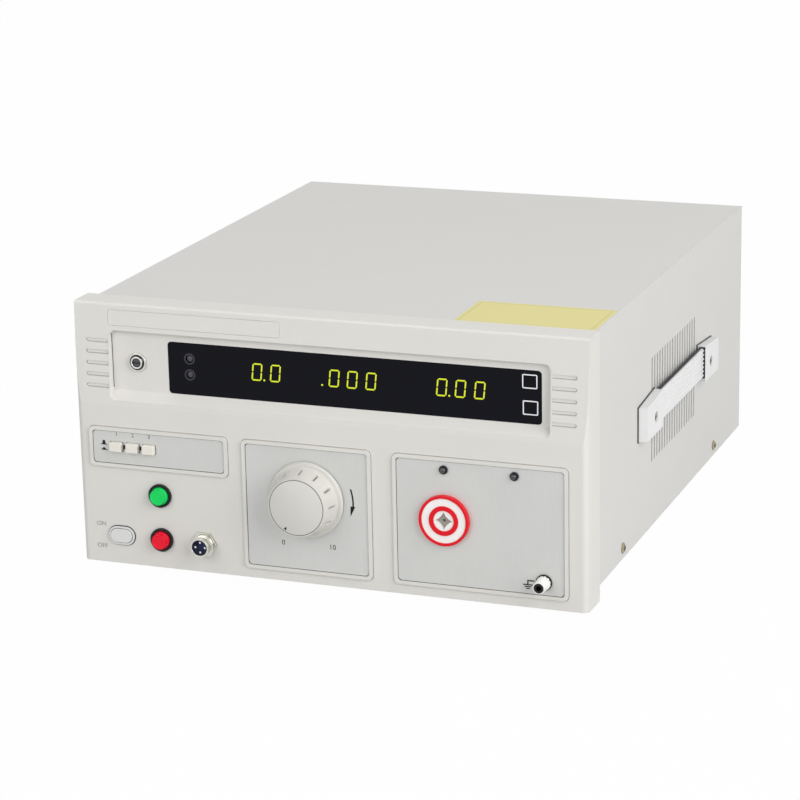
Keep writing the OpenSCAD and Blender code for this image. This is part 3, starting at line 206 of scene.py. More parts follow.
class Shading(Wiring):
    """The node tree of one material, on Object coordinates."""

    def __init__(self, name: str) -> None:
        """Makes an empty material."""
        self.material = bpy.data.materials.new(name)
        self.material.use_nodes = True
        self.material.node_tree.nodes.clear()
        super().__init__(self.material.node_tree)
        self._place = self.node("ShaderNodeTexCoord").outputs["Object"]

    def placed(self, centre: Vector | None = None, stretch: Point | tuple = (1, 1, 1)) -> bpy.types.NodeSocket:
        """Gives the Object coordinates, centred and stretched by a Mapping node."""
        centre = centre or Vector((0, 0, 0))
        shift = [-c * s for c, s in zip(centre, stretch)]
        mapping = self.node("ShaderNodeMapping", None,
                            {"Vector": self._place, "Location": shift, "Scale": stretch})
        return mapping.outputs[0]

    def noise(self, size_mm: float, detail: float = 2.0, stretch: tuple = (1, 1, 1),
              offset: float = 0.0) -> Number:
        """Gives a cloudy noise from 0 to 1 whose lumps have the size named."""
        made = self.node("ShaderNodeTexNoise", {"normalize": True}, {
            "Vector": self.placed(Vector((offset, offset, offset)), stretch),
            "Scale": 1 / (size_mm * MM), "Detail": detail, "Roughness": 0.5})
        return Number(self, made.outputs["Fac"])

    def axis(self, axis: Axis, centre: Vector | None = None) -> Number:
        """Gives one Object coordinate in millimetres from a centre."""
        parts = self.node("ShaderNodeSeparateXYZ", None, {0: self.placed(centre, (1000, 1000, 1000))})
        return Number(self, parts.outputs[axis.value])

    def radius(self, centre: Vector, spindle: Axis) -> Number:
        """Gives the distance in millimetres from a spindle through a centre."""
        keep = [0 if axis is spindle else 1000 for axis in Axis]
        made = self.node("ShaderNodeVectorMath", {"operation": "LENGTH"},
                         {0: self.placed(centre, tuple(keep))})
        return Number(self, made.outputs["Value"])

    def blend(self, share: object, low: object, high: object) -> bpy.types.NodeSocket:
        """Mixes two colours by a share."""
        made = self.node("ShaderNodeMix", {"data_type": "RGBA", "clamp_factor": True},
                         {0: share, 6: low, 7: high})
        return made.outputs[2]

    def relief(self, height: Number, depth_mm: float, rounding_mm: float = 0.0) -> bpy.types.NodeSocket:
        """Turns a height from 0 to 1 into a normal, on edges eased by the rounding."""
        inputs = {"Height": height, "Distance": depth_mm * MM, "Strength": 1.0}
        if rounding_mm:
            eased = self.node("ShaderNodeBevel", {"samples": 4}, {"Radius": rounding_mm * MM})
            inputs["Normal"] = eased.outputs[0]
        return self.node("ShaderNodeBump", None, inputs).outputs[0]

    def close(self, **sockets: object) -> bpy.types.Material:
        """Ends the tree in a Principled shader with the sockets named.

        Args:
            sockets: values by socket name, with underscores for spaces.

        Returns:
            The finished material.
        """
        inputs = {key.replace("_", " "): value for key, value in sockets.items()}
        shader = self.node("ShaderNodeBsdfPrincipled", None, inputs)
        self.node("ShaderNodeOutputMaterial", None, {"Surface": shader.outputs[0]})
        return self.material


@dataclass(frozen=True)
class Finish:
    """An even, slightly clouded surface with a fine grain."""

    name: str
    colour: Colour
    roughness: float = 0.5
    metallic: float = 0.0
    coat: float = 0.0
    grain: float = 0.9
    relief: float = 0.012
    rounding: float = 0.0
    contrast: float = 0.08
    wander: float = 0.08
    gleam: float = 0.5

    def tint(self, shading: Shading) -> Number:
        """Gives the share of the lighter shade over the surface."""
        return 0.6 * shading.noise(45, 3) + 0.4 * shading.noise(self.grain, 1)

    def height(self, shading: Shading) -> Number:
        """Gives the height of the grain over the surface, from 0 to 1."""
        return shading.noise(self.grain, 2, offset=0.37)

    def colours(self, shading: Shading, tint: Number) -> bpy.types.NodeSocket:
        """Gives the colour over the surface."""
        dark = linear(self.colour, 1 - self.contrast)
        return shading.blend(tint, dark, linear(self.colour, 1 + self.contrast / 2))

    def build(self) -> bpy.types.Material:
        """Makes the material of this finish."""
        shading = Shading(self.name)
        tint = self.tint(shading)
        return shading.close(
            Base_Color=self.colours(shading, tint),
            Roughness=self.roughness + self.wander * (tint - 0.5),
            Metallic=self.metallic,
            Coat_Weight=self.coat,
            Coat_Roughness=0.12,
            Specular_IOR_Level=self.gleam,
            Normal=shading.relief(self.height(shading), self.relief, self.rounding))


@dataclass(frozen=True)
class Moulded(Finish):
    """Spark-eroded plastic: a fine even grain, and colour that clouds a little in the flow."""

    def tint(self, shading: Shading) -> Number:
        """Clouds the colour in long soft flow patches."""
        flow = shading.noise(70, 2, (1, 1, 0.4))
        return 0.7 * flow + 0.3 * shading.noise(self.grain, 1, offset=0.11)


@dataclass(frozen=True)
class PowderCoat(Finish):
    """Powder paint: soft lumps like orange peel under a finer grain."""

    def height(self, shading: Shading) -> Number:
        """Adds the peel and the grain."""
        return 0.7 * shading.noise(2.6, 1) + 0.3 * shading.noise(self.grain, 2, offset=0.2)


@dataclass(frozen=True)
class Brushed(Finish):
    """Metal or film with fine scratches along one axis."""

    along: Axis = Axis.X
    length: float = 30.0

    def tint(self, shading: Shading) -> Number:
        """Shades the scratches."""
        return 0.5 * shading.noise(30, 3) + 0.5 * self.height(shading)

    def height(self, shading: Shading) -> Number:
        """Cuts the scratches, as noise drawn out along the axis."""
        stretch = tuple(1 / self.length if axis is self.along else 1 for axis in Axis)
        return shading.noise(self.grain, 2, stretch)


@dataclass(frozen=True)
class Turned(Finish):
    """Metal or plastic turned on a lathe: fine rings around a spindle."""

    centre: tuple = (0.0, 0.0, 0.0)
    spindle: Axis = Axis.Y
    pitch: float = 0.5

    def tint(self, shading: Shading) -> Number:
        """Mixes rings and clouds."""
        return 0.4 * self.height(shading) + 0.6 * shading.noise(5, 3)

    def height(self, shading: Shading) -> Number:
        """Cuts the rings, broken up by noise."""
        radius = shading.radius(Vector(self.centre), self.spindle)
        wave = (radius * (2 * math.pi / self.pitch) + 3 * shading.noise(6, 2)).sine()
        return 0.5 + 0.5 * wave


@dataclass(frozen=True)
class Stacked(Finish):
    """Iron sheets stacked along an axis, with a thin dark gap between them."""

    along: Axis = Axis.Z
    pitch: float = 1.0

    def tint(self, shading: Shading) -> Number:
        """Darkens the gaps and stains the sheets."""
        return self.height(shading) * (0.4 + 0.6 * shading.noise(9, 3))

    def height(self, shading: Shading) -> Number:
        """Raises the rounded edge of each sheet."""
        return abs((shading.axis(self.along) * (math.pi / self.pitch)).sine()).power(0.4)


@dataclass(frozen=True)
class Bordered(Finish):
    """Printed film with a thin line inside its edge and faint handling marks."""

    centre: tuple = (0.0, 0.0, 0.0)
    half: Point = (10.0, 10.0)
    line: float = 0.7
    ink: Colour = (150, 140, 40)

    def colours(self, shading: Shading, tint: Number) -> bpy.types.NodeSocket:
        """Draws the line round the film's colour."""
        plain = super().colours(shading, tint)
        across = abs(shading.axis(Axis.X, Vector(self.centre))) - self.half[0]
        along = abs(shading.axis(Axis.Y, Vector(self.centre))) - self.half[1]
        edge = abs(across.most(along))
        return shading.blend((edge < self.line / 2) * 0.5, plain, linear(self.ink))


@dataclass(frozen=True)
class Lit(Finish):
    """Ink or a light-emitting segment that shines in its own colour."""

    strength: float = 1.0

    def build(self) -> bpy.types.Material:
        """Makes a shining material with a slightly uneven glow."""
        shading = Shading(self.name)
        tint = shading.noise(1.6, 2)
        glow = shading.blend(tint, linear(self.colour, 0.82), linear(self.colour))
        return shading.close(Base_Color=linear(self.colour, 0.1), Roughness=self.roughness,
                             Emission_Color=glow, Emission_Strength=self.strength)


@cache
def paint(finish: Finish) -> bpy.types.Material:
    """Gives the material of a finish, made on first use."""
    return finish.build()


FRONT = Moulded("front_plastic_look", (222, 220, 215), 0.5, grain=0.8, relief=0.016, rounding=0.25,
                contrast=0.05)
PAINT = PowderCoat("case_paint_look", (214, 213, 210), 0.5, grain=0.7, relief=0.03, rounding=0.3, contrast=0.04)
PLATE = Brushed("plate_look", (209, 210, 207), 0.4, metallic=0.1, grain=0.5, relief=0.004, contrast=0.1,
                along=Axis.Z, length=20)
STRIP = Finish("strip_look", (222, 221, 216), 0.4, grain=1.4, relief=0.004, contrast=0.04)
WINDOW = Finish("window_look", (3, 4, 15), 0.16, grain=6, relief=0.001, contrast=0.3, wander=0.04, gleam=0.12)
KEY = Moulded("key_look", (236, 232, 222), 0.38, grain=0.7, relief=0.006)
GREEN = Moulded("start_look", (0, 216, 96), 0.34, grain=0.9, relief=0.006, gleam=0.3)
RED = Moulded("reset_look", (240, 4, 44), 0.34, grain=0.9, relief=0.006, gleam=0.3)
# Darker copies of the start and reset colours: painted shade for the ring round each cap's face.
GREEN_PAINTED_SHADE = Moulded("start_painted_shade_look", (0, 140, 62), 0.4, grain=0.9, relief=0.006, gleam=0.2)
RED_PAINTED_SHADE = Moulded("reset_painted_shade_look", (150, 2, 26), 0.4, grain=0.9, relief=0.006, gleam=0.2)
POWER = Moulded("power_look", (222, 222, 221), 0.4, grain=1.6, relief=0.06, contrast=0.14)
# Black of the real mouldings, also used for dark pieces of painted shade in gaps, slots and recesses.
BLACK_AND_SHADE = Moulded("black_moulding_and_painted_shade_look", (20, 20, 22), 0.42, grain=0.7, relief=0.012, contrast=0.3, gleam=0.3)
CHROME = Finish("plated_look", (214, 214, 210), 0.16, metallic=1.0, grain=3, relief=0.004, contrast=0.12)
NICKEL = Finish("nickel_look", (206, 205, 196), 0.22, metallic=1.0, grain=2.4, relief=0.006, contrast=0.16)
STEEL = Finish("dark_steel_look", (88, 88, 90), 0.3, metallic=0.9, grain=1.2, relief=0.008, contrast=0.25)
SCREW = Finish("screw_look", (172, 164, 136), 0.3, metallic=1.0, grain=1.2, relief=0.01, contrast=0.2)
BRASS = Finish("brass_look", (205, 180, 120), 0.24, metallic=1.0, grain=1.2, relief=0.006, contrast=0.18)
INSERT = Moulded("insert_look", (12, 34, 78), 0.45, grain=0.6, relief=0.01, contrast=0.25, gleam=0.3)
WHITE = Moulded("insulator_look", (248, 247, 244), 0.3, coat=0.25, grain=1.1, relief=0.006, rounding=0.3,
                contrast=0.05)
RING = Moulded("red_ring_look", (228, 4, 30), 0.4, grain=0.8, relief=0.01, contrast=0.12, gleam=0.3)
CONTACT = Turned("contact_look", (164, 156, 148), 0.42, metallic=0.35, relief=0.01, contrast=0.3)
LAMP = Finish("lamp_lens_look", (44, 34, 46), 0.12, coat=0.5, grain=1.2, relief=0.01, contrast=0.3)
LENS = Finish("display_lamp_look", (70, 70, 78), 0.4, grain=1.2, relief=0.05, contrast=0.3, gleam=0.3)
SMOKE = Finish("lamp_rim_look", (52, 53, 60), 0.4, grain=1.0, relief=0.01, contrast=0.3, gleam=0.3)
KNOB = Moulded("knob_look", (213, 211, 205), 0.42, grain=0.8, relief=0.01, contrast=0.05)
RUBBER = Moulded("foot_rubber_look", (34, 34, 35), 0.8, grain=0.8, relief=0.05, contrast=0.3)
PAN = Brushed("zinc_sheet_look", (186, 188, 190), 0.38, metallic=0.9, grain=1.2, relief=0.01, contrast=0.2,
              length=12)
HANDLE = Moulded("handle_look", (230, 230, 230), 0.34, grain=0.9, relief=0.008, contrast=0.04)
LABEL = Bordered("label_look", (222, 212, 130), 0.4, grain=1.0, relief=0.004, contrast=0.05)
FAN = Moulded("fan_look", (24, 24, 26), 0.46, grain=0.8, relief=0.02, contrast=0.3)
WIRE = Brushed("wire_look", (204, 204, 202), 0.22, metallic=1.0, grain=0.6, relief=0.006, contrast=0.12)
COPPER = Brushed("enamelled_wire_look", (176, 92, 44), 0.3, metallic=0.9, coat=0.5, grain=0.8, relief=0.008)
TAPE = Finish("winding_tape_look", (150, 44, 30), 0.36, coat=0.3, grain=2.2, relief=0.05, contrast=0.3)
CORE = Stacked("laminated_core_look", (92, 92, 96), 0.5, metallic=0.7, relief=0.12, contrast=0.5)
CARBON = Finish("carbon_look", (62, 58, 54), 0.6, grain=0.8, relief=0.03, contrast=0.4)
BOARD = Brushed("board_look", (34, 104, 56), 0.32, grain=1.3, relief=0.02, contrast=0.3, length=6)
SLEEVE = Finish("part_sleeve_look", (48, 50, 62), 0.3, coat=0.2, grain=1.6, relief=0.02, contrast=0.3)
DIGIT_BODY = Moulded("digit_block_look", (40, 42, 46), 0.4, grain=0.8, relief=0.01, contrast=0.2)
INK = Finish("black_ink_look", (24, 24, 28), 0.5, grain=0.5, relief=0.004, contrast=0.3, gleam=0.2)
SHADE_INK = Finish("grey_line_look", (88, 86, 81), 0.5, grain=0.5, relief=0.004, contrast=0.2, gleam=0.2)
# Dark grey: painted shade in the gaps round the plates.
GAP_SHADE = Finish("plate_gap_painted_shade_look", (58, 56, 53), 0.6, grain=0.5, relief=0.004, contrast=0.2, gleam=0.1)
# Soft grey: painted shade round the frames' feet, along the grooves and on the floors of the knob's grip slots.
SOFT_SHADE = Finish("soft_painted_shade_look", (150, 147, 140), 0.6, grain=0.5, relief=0.004, contrast=0.1, gleam=0.1)
PALE_INK = Finish("pale_ink_look", (244, 245, 250), 0.4, grain=0.5, relief=0.004, contrast=0.1)
# The front's plastic in a darker grey: painted shade on the raised switch words.
RAISED_SHADED = Moulded("raised_letter_painted_shade_look", (172, 170, 163), 0.5, grain=0.8, relief=0.01, contrast=0.06)
GLOW = Lit("lit_digit_look", (214, 226, 20), 0.3, strength=1.05)


class Part(Enum):
    """Bodies of the CAD model that pieces ride on."""

    CASE = "case"
    KNOB = "knob"
    PRESET = "preset"
    START = "start"
    RESET = "reset"
    POWER = "power"
    KEY_1 = "key_1"
    KEY_2 = "key_2"
    KEY_3 = "key_3"
    GROUND = "ground"
    FAN = "fan"
    FUSE = "fuse"


def dress(finish: Finish, *nodes: str) -> None:
    """Gives CAD nodes their finish."""
    for node in nodes:
        mesh = frame["nodes"][node].data
        mesh.materials.clear()
        mesh.materials.append(paint(finish))
        log.info("dressed %s in %s", node, finish.name)


def hand_over(piece: bpy.types.Object, part: Part, slot: str, finish: Finish, *nodes: str) -> None:
    """Finishes a piece: its material, its body and the nodes it stands for.

    Args:
        piece: the piece, with its place in its mesh.
        part: the body that it rides on.
        slot: not used.
        finish: the look of its surface.
        nodes: CAD nodes that it stands for.
    """
    piece.data.materials.clear()
    piece.data.materials.append(paint(finish))
    for polygon in piece.data.polygons:
        polygon.material_index = 0
    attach(piece, part.value)
    if nodes:
        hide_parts(*nodes)
    log.info("piece %s: %d faces", piece.name, len(piece.data.polygons))


def link(name: str, data: bpy.types.ID) -> bpy.types.Object:
    """Links a mesh, curve, lamp or camera to the scene as an object at the origin."""
    made = bpy.data.objects.new(name, data)
    bpy.context.scene.collection.objects.link(made)
    return made


def from_bmesh(name: str, shape: bmesh.types.BMesh) -> bpy.types.Object:
    """Turns a bmesh into an object, smooth but for its sharp edges."""
    bmesh.ops.recalc_face_normals(shape, faces=shape.faces)
    mesh = bpy.data.meshes.new(name)
    shape.to_mesh(mesh)
    shape.free()
    mesh.shade_smooth()
    mesh.set_sharp_from_angle(angle=math.radians(SMOOTH_DEG))
    return link(name, mesh)


def settled(piece: bpy.types.Object) -> bpy.types.Object:
    """Turns a piece with modifiers into a plain mesh object of the same name."""
    view = bpy.context.evaluated_depsgraph_get()
    mesh = bpy.data.meshes.new_from_object(piece.evaluated_get(view), depsgraph=view)
    name = piece.name
    bpy.data.objects.remove(piece)
    return link(name, mesh)


def merged(node: str) -> bmesh.types.BMesh:
    """Copies a CAD node's mesh, with the faces' common corners joined."""
    shape = bmesh.new()
    shape.from_mesh(frame["nodes"][node].data)
    bmesh.ops.remove_doubles(shape, verts=shape.verts, dist=SAME_PLACE)
    return shape


def eased(name: str, node: str, width: float, segments: int = 2) -> bpy.types.Object:
    """Copies a CAD node and rounds its sharp edges.

    Args:
        name: name of the new piece.
        node: the CAD node to copy.
        width: width of the rounding in millimetres.
        segments: faces across the rounding.

    Returns:
        The new piece as a plain mesh.
    """
    shape = merged(node)
    bmesh.ops.dissolve_limit(shape, angle_limit=math.radians(FLAT_DEG), verts=shape.verts, edges=shape.edges)
    piece = from_bmesh(name, shape)
    bevel = piece.modifiers.new("rounding", "BEVEL")
    bevel.width = width * MM
    bevel.segments = segments
    bevel.limit_method = "ANGLE"
    bevel.angle_limit = math.radians(EDGE_DEG)
    bevel.harden_normals = True
    bevel.use_clamp_overlap = True
    return settled(piece)


def ease(name: str, node: str, slot: str, finish: Finish, width: float, segments: int = 2,
         part: Part = Part.CASE) -> None:
    """Lets a CAD node's rounded copy stand for it, with the arguments of eased and of hand_over."""
    hand_over(eased(name, node, width, segments), part, slot, finish, node)


def arc(x: float, z: float, radius: float, start: float, end: float, steps: int) -> list[Point]:
    """Gives points along an arc, angles in degrees from straight right, counterclockwise."""
    turns = [math.radians(start + (end - start) * i / steps) for i in range(steps + 1)]
    return [(x + radius * math.cos(t), z + radius * math.sin(t)) for t in turns]


def circle(x: float, z: float, radius: float, steps: int = 36) -> list[Point]:
    """Gives points round a circle."""
    return arc(x, z, radius, 0, 360 - 360 / steps, steps - 1)


def at_angle(x: float, z: float, radius: float, degrees: float) -> Point:
    """Gives the place at a distance and an angle from a middle."""
    return arc(x, z, radius, degrees, degrees, 1)[0]


def rounded(x: float, z: float, w: float, h: float, r: float, steps: int = 4) -> list[Point]:
    """Gives the outline of a rectangle with round corners."""
    points: list[Point] = []
    for sx, sz, start in ((1, -1, -90), (1, 1, 0), (-1, 1, 90), (-1, -1, 180)):
        points += arc(x + sx * (w / 2 - r), z + sz * (h / 2 - r), r, start, start + 90, steps)
    return points


class Extent:
    """Where a CAD node lies, in millimetres from the middle, the face and the foot of the front."""

    def __init__(self, node: str) -> None:
        """Measures the node's box."""
        low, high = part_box(node)
        self.x, self.z = (low.x + high.x) / 2 / MM, (low.z + high.z) / 2 / MM - FOOT_Z
        self.w, self.h = (high.x - low.x) / MM, (high.z - low.z) / MM
        self.front, self.back = low.y / MM - FACE_Y, high.y / MM - FACE_Y


def stretched(piece: bpy.types.Object, node: str, across: float, up: float = 1.0) -> bpy.types.Object:
    """Stretches a piece across and up, about the middle of its CAD node."""
    place = Extent(node)
    middle = Matrix.Translation(spot(place.x, 0, place.z))
    piece.data.transform(middle @ Matrix.Diagonal(Vector((across, 1, up, 1))) @ middle.inverted())
    return piece


class Form:
    """A shape of plain solids, given away as one piece.

    Lines hold x and z, levels hold the front and the back of a solid, all in millimetres.
    """

    def __init__(self) -> None:
        """Starts empty."""
        self.shape = bmesh.new()

    def loft(self, rows: list[list[Vector]]) -> None:
        """Adds a solid through outlines in metres that have as many corners, closed at both ends."""
        made = [[self.shape.verts.new(place) for place in row] for row in rows]
        self.shape.faces.new(made[0])
        self.shape.faces.new(made[-1])
        for near, far in zip(made, made[1:]):
            for i in range(len(near)):
                j = (i + 1) % len(near)
                self.shape.faces.new((near[i], near[j], far[j], far[i]))

    def slab(self, outline: list[Point], levels: Point) -> None:
        """Adds a flat solid with an outline in the front's plane."""
        self.loft([[spot(x, y, z) for x, z in outline] for y in levels])

    def turned(self, x: float, z: float, profile: list[Point], steps: int = 72) -> None:
        """Turns a profile of radii and depths about an axis that points out of the front."""
        self.loft([[spot(px, y, pz) for px, pz in circle(x, z, radius, steps)] for radius, y in profile])

    def band(self, inner: list[Point], outer: list[Point], levels: Point, closed: bool = True) -> None:
        """Adds a flat strip between two lines of points, as a ring or open at both ends."""
        y0, y1 = levels
        grid = [[self.shape.verts.new(spot(x, y, z)) for x, z in line] for line, y in
                ((inner, y0), (outer, y0), (outer, y1), (inner, y1))]
        for i in range(len(inner) if closed else len(inner) - 1):
            j = (i + 1) % len(inner)
            for a in range(4):
                b = (a + 1) % 4
                self.shape.faces.new((grid[a][i], grid[a][j], grid[b][j], grid[b][i]))
        if not closed:
            for i in (0, -1):
                self.shape.faces.new([row[i] for row in grid])

    def washer(self, x: float, z: float, radii: Point, levels: Point, steps: int = 36) -> None:
        """Adds a flat round ring."""
        self.band(*(circle(x, z, radius, steps) for radius in radii), levels)

    def box(self, place: Matrix, size: Vector) -> None:
        """Adds a block about the origin of a placing, size in metres."""
        for vertex in bmesh.ops.create_cube(self.shape, size=1.0)["verts"]:
            vertex.co = place @ Vector(a * b for a, b in zip(vertex.co, size))

    def give(self, name: str, slot: str, finish: Finish, *nodes: str, part: Part = Part.CASE) -> None:
        """Hands the shape over as one piece, with the arguments of hand_over."""
        hand_over(from_bmesh(name, self.shape), part, slot, finish, *nodes)


def about(plane: float, before: float, behind: float) -> Point:
    """Gives two levels, one before a plane and one behind it, in millimetres."""
    return plane - before, plane + behind


@dataclass
class Lettering:
    """Plain numbers and switch words printed on the front."""

    sink: float = 0.03
    proud: float = 0.03
    capital: float = 0.7
    finish: Finish = INK
    slot: str = "switch_dark"

    def write(self, name: str, words: str, x: float, z: float, height: float, y: float) -> None:
        """Prints words on a plane of the front.

        Args:
            name: name of the piece.
            words: what is printed.
            x: middle of the words in millimetres.
            z: middle of the words in millimetres.
            height: height of a capital in millimetres.
            y: the printed plane in millimetres.
        """
        curve = bpy.data.curves.new(name, "FONT")
        curve.body = words
        curve.align_x = "CENTER"
        curve.align_y = "CENTER"
        curve.size = height / self.capital
        curve.extrude = (self.sink + self.proud) / 2
        curve.resolution_u = 3
        piece = settled(link(name, curve))
        piece.data.transform(facing_front(x, y + (self.sink - self.proud) / 2, z) @ Matrix.Scale(MM, 4))
        hand_over(piece, Part.CASE, self.slot, self.finish)


class Marks(Form):
    """Printed lines and symbols, and lines of painted shade, on one plane of the front."""

    def __init__(self, plane: float) -> None:
        """Starts empty; each mark lies half in and half on the plane."""
        super().__init__()
        self.levels = about(plane, MARK_T / 2, MARK_T / 2)

    def bar(self, x0: float, z0: float, x1: float, z1: float, width: float) -> None:
        """Draws a straight line of the width named."""
        run = Vector((x1 - x0, z1 - z0))
        side = Vector((-run.y, run.x)).normalized() * width / 2
        self.fill([(x0 + side.x, z0 + side.y), (x0 - side.x, z0 - side.y),
                   (x1 - side.x, z1 - side.y), (x1 + side.x, z1 + side.y)])

    def fill(self, outline: list[Point]) -> None:
        """Prints a filled outline."""
        self.slab(outline, self.levels)

    def ring(self, x: float, z: float, w: float, h: float, r: float, width: float) -> None:
        """Draws the line round a rounded rectangle."""
        self.band(rounded(x, z, w - 2 * width, h - 2 * width, max(r - width, LEAST_CORNER)),
                  rounded(x, z, w, h, r), self.levels)

    def bow(self, x: float, z: float, radius: float, start: float, end: float, width: float) -> None:
        """Prints a line along an arc."""
        lines = (arc(x, z, radius + side * width / 2, start, end, 16) for side in (-1, 1))
        self.band(*lines, self.levels, closed=False)


class Recipe(Wiring):
    """A Geometry Nodes tree with named sizes, run once and kept as a plain mesh."""

    smooth_deg = 40.0

    def __init__(self, name: str, sizes: dict[str, float]) -> None:
        """Makes a tree with one input for each size.

        Args:
            name: name of the tree.
            sizes: value of each named input, metres or counts.
        """
        self.name = name
        self.sizes = sizes
        super().__init__(bpy.data.node_groups.new(name, "GeometryNodeTree"))
        self.ids: dict[str, str] = {}
        for label, value in sizes.items():
            kind = "NodeSocketInt" if isinstance(value, int) else "NodeSocketFloat"
            entry = self.tree.interface.new_socket(label, in_out="INPUT", socket_type=kind)
            self.ids[label] = entry.identifier
        self.tree.interface.new_socket("Geometry", in_out="OUTPUT", socket_type="NodeSocketGeometry")
        self.group = self.node("NodeGroupInput")

    def size(self, label: str) -> Number:
        """Gives a named input of the tree."""
        return Number(self, self.group.outputs[label])

    def run(self, name: str, geometry: bpy.types.NodeSocket, finish: Finish,
            place: Matrix) -> bpy.types.Object:
        """Ends the tree, evaluates it and places the plain mesh.

        Args:
            name: name of the piece.
            geometry: what the tree made.
            finish: its material.
            place: where its own origin and axes go.

        Returns:
            The piece as a plain mesh at the origin.
        """
        real = self.node("GeometryNodeRealizeInstances", None, {0: geometry})
        dressed = self.node("GeometryNodeSetMaterial", None,
                            {"Geometry": real.outputs[0], "Material": paint(finish)})
        self.node("NodeGroupOutput", None, {0: dressed.outputs[0]})
        piece = link(name, bpy.data.meshes.new(name))
        modifier = piece.modifiers.new("recipe", "NODES")
        modifier.node_group = self.tree
        for label, value in self.sizes.items():
            modifier[self.ids[label]] = value
        piece = settled(piece)
        piece.data.transform(place)
        piece.data.shade_smooth()
        piece.data.set_sharp_from_angle(angle=math.radians(self.smooth_deg))
        return piece


def facing_front(x: float, y: float, z: float) -> Matrix:
    """Gives the placing that turns a shape's own Z axis towards the front."""
    return Matrix.Translation(spot(x, y, z)) @ Matrix.Rotation(math.radians(90), 4, "X")


@dataclass
class Thread:
    """A screw thread as one helical ridge on a barrel."""

    radius: float
    length: float
    pitch: float = 0.8
    depth: float = 0.3

    def build(self, name: str, x: float, y: float, z: float, finish: Finish) -> bpy.types.Object:
        """Winds the ridge forward from a place on the barrel's axis.

        Args:
            name: name of the piece.
            x: axis of the barrel in millimetres.
            y: rear end of the thread in millimetres.
            z: axis of the barrel in millimetres.
            finish: the metal.

        Returns:
            The ridge as a plain mesh.
        """
        recipe = Recipe(name + "_recipe", {
            "Radius": self.radius * MM, "Length": self.length * MM,
            "Turns": self.length / self.pitch, "Ridge": self.depth * MM})
        spiral = recipe.node("GeometryNodeCurveSpiral", None, {
            "Resolution": 28, "Rotations": recipe.size("Turns"), "Start Radius": recipe.size("Radius"),
            "End Radius": recipe.size("Radius"), "Height": recipe.size("Length")})
        profile = recipe.node("GeometryNodeCurvePrimitiveCircle", {"mode": "RADIUS"},
                              {"Resolution": 4, "Radius": recipe.size("Ridge")})
        ridge = recipe.node("GeometryNodeCurveToMesh", None, {
            "Curve": spiral.outputs[0], "Profile Curve": profile.outputs[0], "Fill Caps": True})
        return recipe.run(name, ridge.outputs[0], finish, facing_front(x, y, z))


@dataclass
class Winding:
    """Turns of enamelled wire round a toroid's core."""

    centre: Vector
    ring_r: float
    radial: float
    axial: float
    wire: float
    turns: int

    def build(self, name: str, finish: Finish) -> bpy.types.Object:
        """Lays the turns side by side round the ring.

        Args:
            name: name of the piece.
            finish: the wire.

        Returns:
            All turns as one plain mesh.
        """
        recipe = Recipe(name + "_recipe", {
            "Ring Radius": self.ring_r, "Radial Size": self.radial, "Axial Size": self.axial,
            "Wire Radius": self.wire, "Turns": self.turns})
        ring = recipe.node("GeometryNodeMeshCircle", None, {
            "Vertices": recipe.size("Turns"), "Radius": recipe.size("Ring Radius")})
        loop = recipe.node("GeometryNodeCurvePrimitiveQuadrilateral", {"mode": "RECTANGLE"}, {
            "Width": recipe.size("Radial Size"), "Height": recipe.size("Axial Size")})
        soft = recipe.node("GeometryNodeFilletCurve", {"mode": "POLY"}, {
            "Curve": loop.outputs[0], "Count": 2, "Radius": recipe.size("Radial Size") * 0.3})
        bore = recipe.node("GeometryNodeCurvePrimitiveCircle", {"mode": "RADIUS"},
                           {"Resolution": 5, "Radius": recipe.size("Wire Radius")})
        wire = recipe.node("GeometryNodeCurveToMesh", None,
                           {"Curve": soft.outputs[0], "Profile Curve": bore.outputs[0]})
        upright = recipe.node("GeometryNodeTransform", None, {
            "Geometry": wire.outputs[0], "Rotation": (math.radians(90), 0, 0)})
        index = recipe.node("GeometryNodeInputIndex")
        angle = Number(recipe, index.outputs[0]) * (2 * math.pi) / recipe.size("Turns")
        turn = recipe.node("ShaderNodeCombineXYZ", None, {"Z": angle})
        placed = recipe.node("GeometryNodeInstanceOnPoints", None, {
            "Points": ring.outputs[0], "Instance": upright.outputs[0], "Rotation": turn.outputs[0]})
        axis = Matrix.Translation(self.centre) @ Matrix.Rotation(math.radians(90), 4, "X")
        return recipe.run(name, placed.outputs[0], finish, axis)


@dataclass
class PhotoView:
    """The camera at the photograph's place."""

    place: tuple = (0.7675, -2.1031, 0.7424)
    yaw: float = 20.675
    pitch: float = 16.207
    roll: float = -1.175
    focal_px: float = 2837.95
    photo_px: float = 800.0
    sensor: float = 36.0

    def build(self) -> None:
        """Makes the camera and looks through it."""
        yaw, pitch, roll = (math.radians(v) for v in (self.yaw, self.pitch, self.roll))
        ahead = Vector((-math.sin(yaw) * math.cos(pitch), math.cos(yaw) * math.cos(pitch), -math.sin(pitch)))
        right = Vector((math.cos(yaw), math.sin(yaw), 0))
        up = right.cross(ahead)
        right, up = (math.cos(roll) * right + math.sin(roll) * up, math.cos(roll) * up - math.sin(roll) * right)
        data = bpy.data.cameras.new("photo_view")
        data.sensor_fit = "HORIZONTAL"
        data.sensor_width = self.sensor
        data.lens = self.focal_px / self.photo_px * self.sensor
        camera = link("photo_view", data)
        turn = Matrix((right, up, -ahead)).transposed().to_4x4()
        camera.matrix_world = Matrix.Translation(Vector(self.place)) @ turn
        bpy.context.scene.camera = camera


@dataclass
class Softbox:
    """One square area lamp aimed at the instrument."""

    name: str
    place: tuple
    side: float
    watts: float

    def build(self) -> None:
        """Makes the lamp."""
        data = bpy.data.lights.new(self.name, "AREA")
        data.shape = "SQUARE"
        data.size = self.side
        data.energy = self.watts
        lamp = link(self.name, data)
        aim = Vector((0, 0, 0.08)) - Vector(self.place)
        turn = aim.to_track_quat("-Z", "Y").to_matrix().to_4x4()
        lamp.matrix_world = Matrix.Translation(Vector(self.place)) @ turn


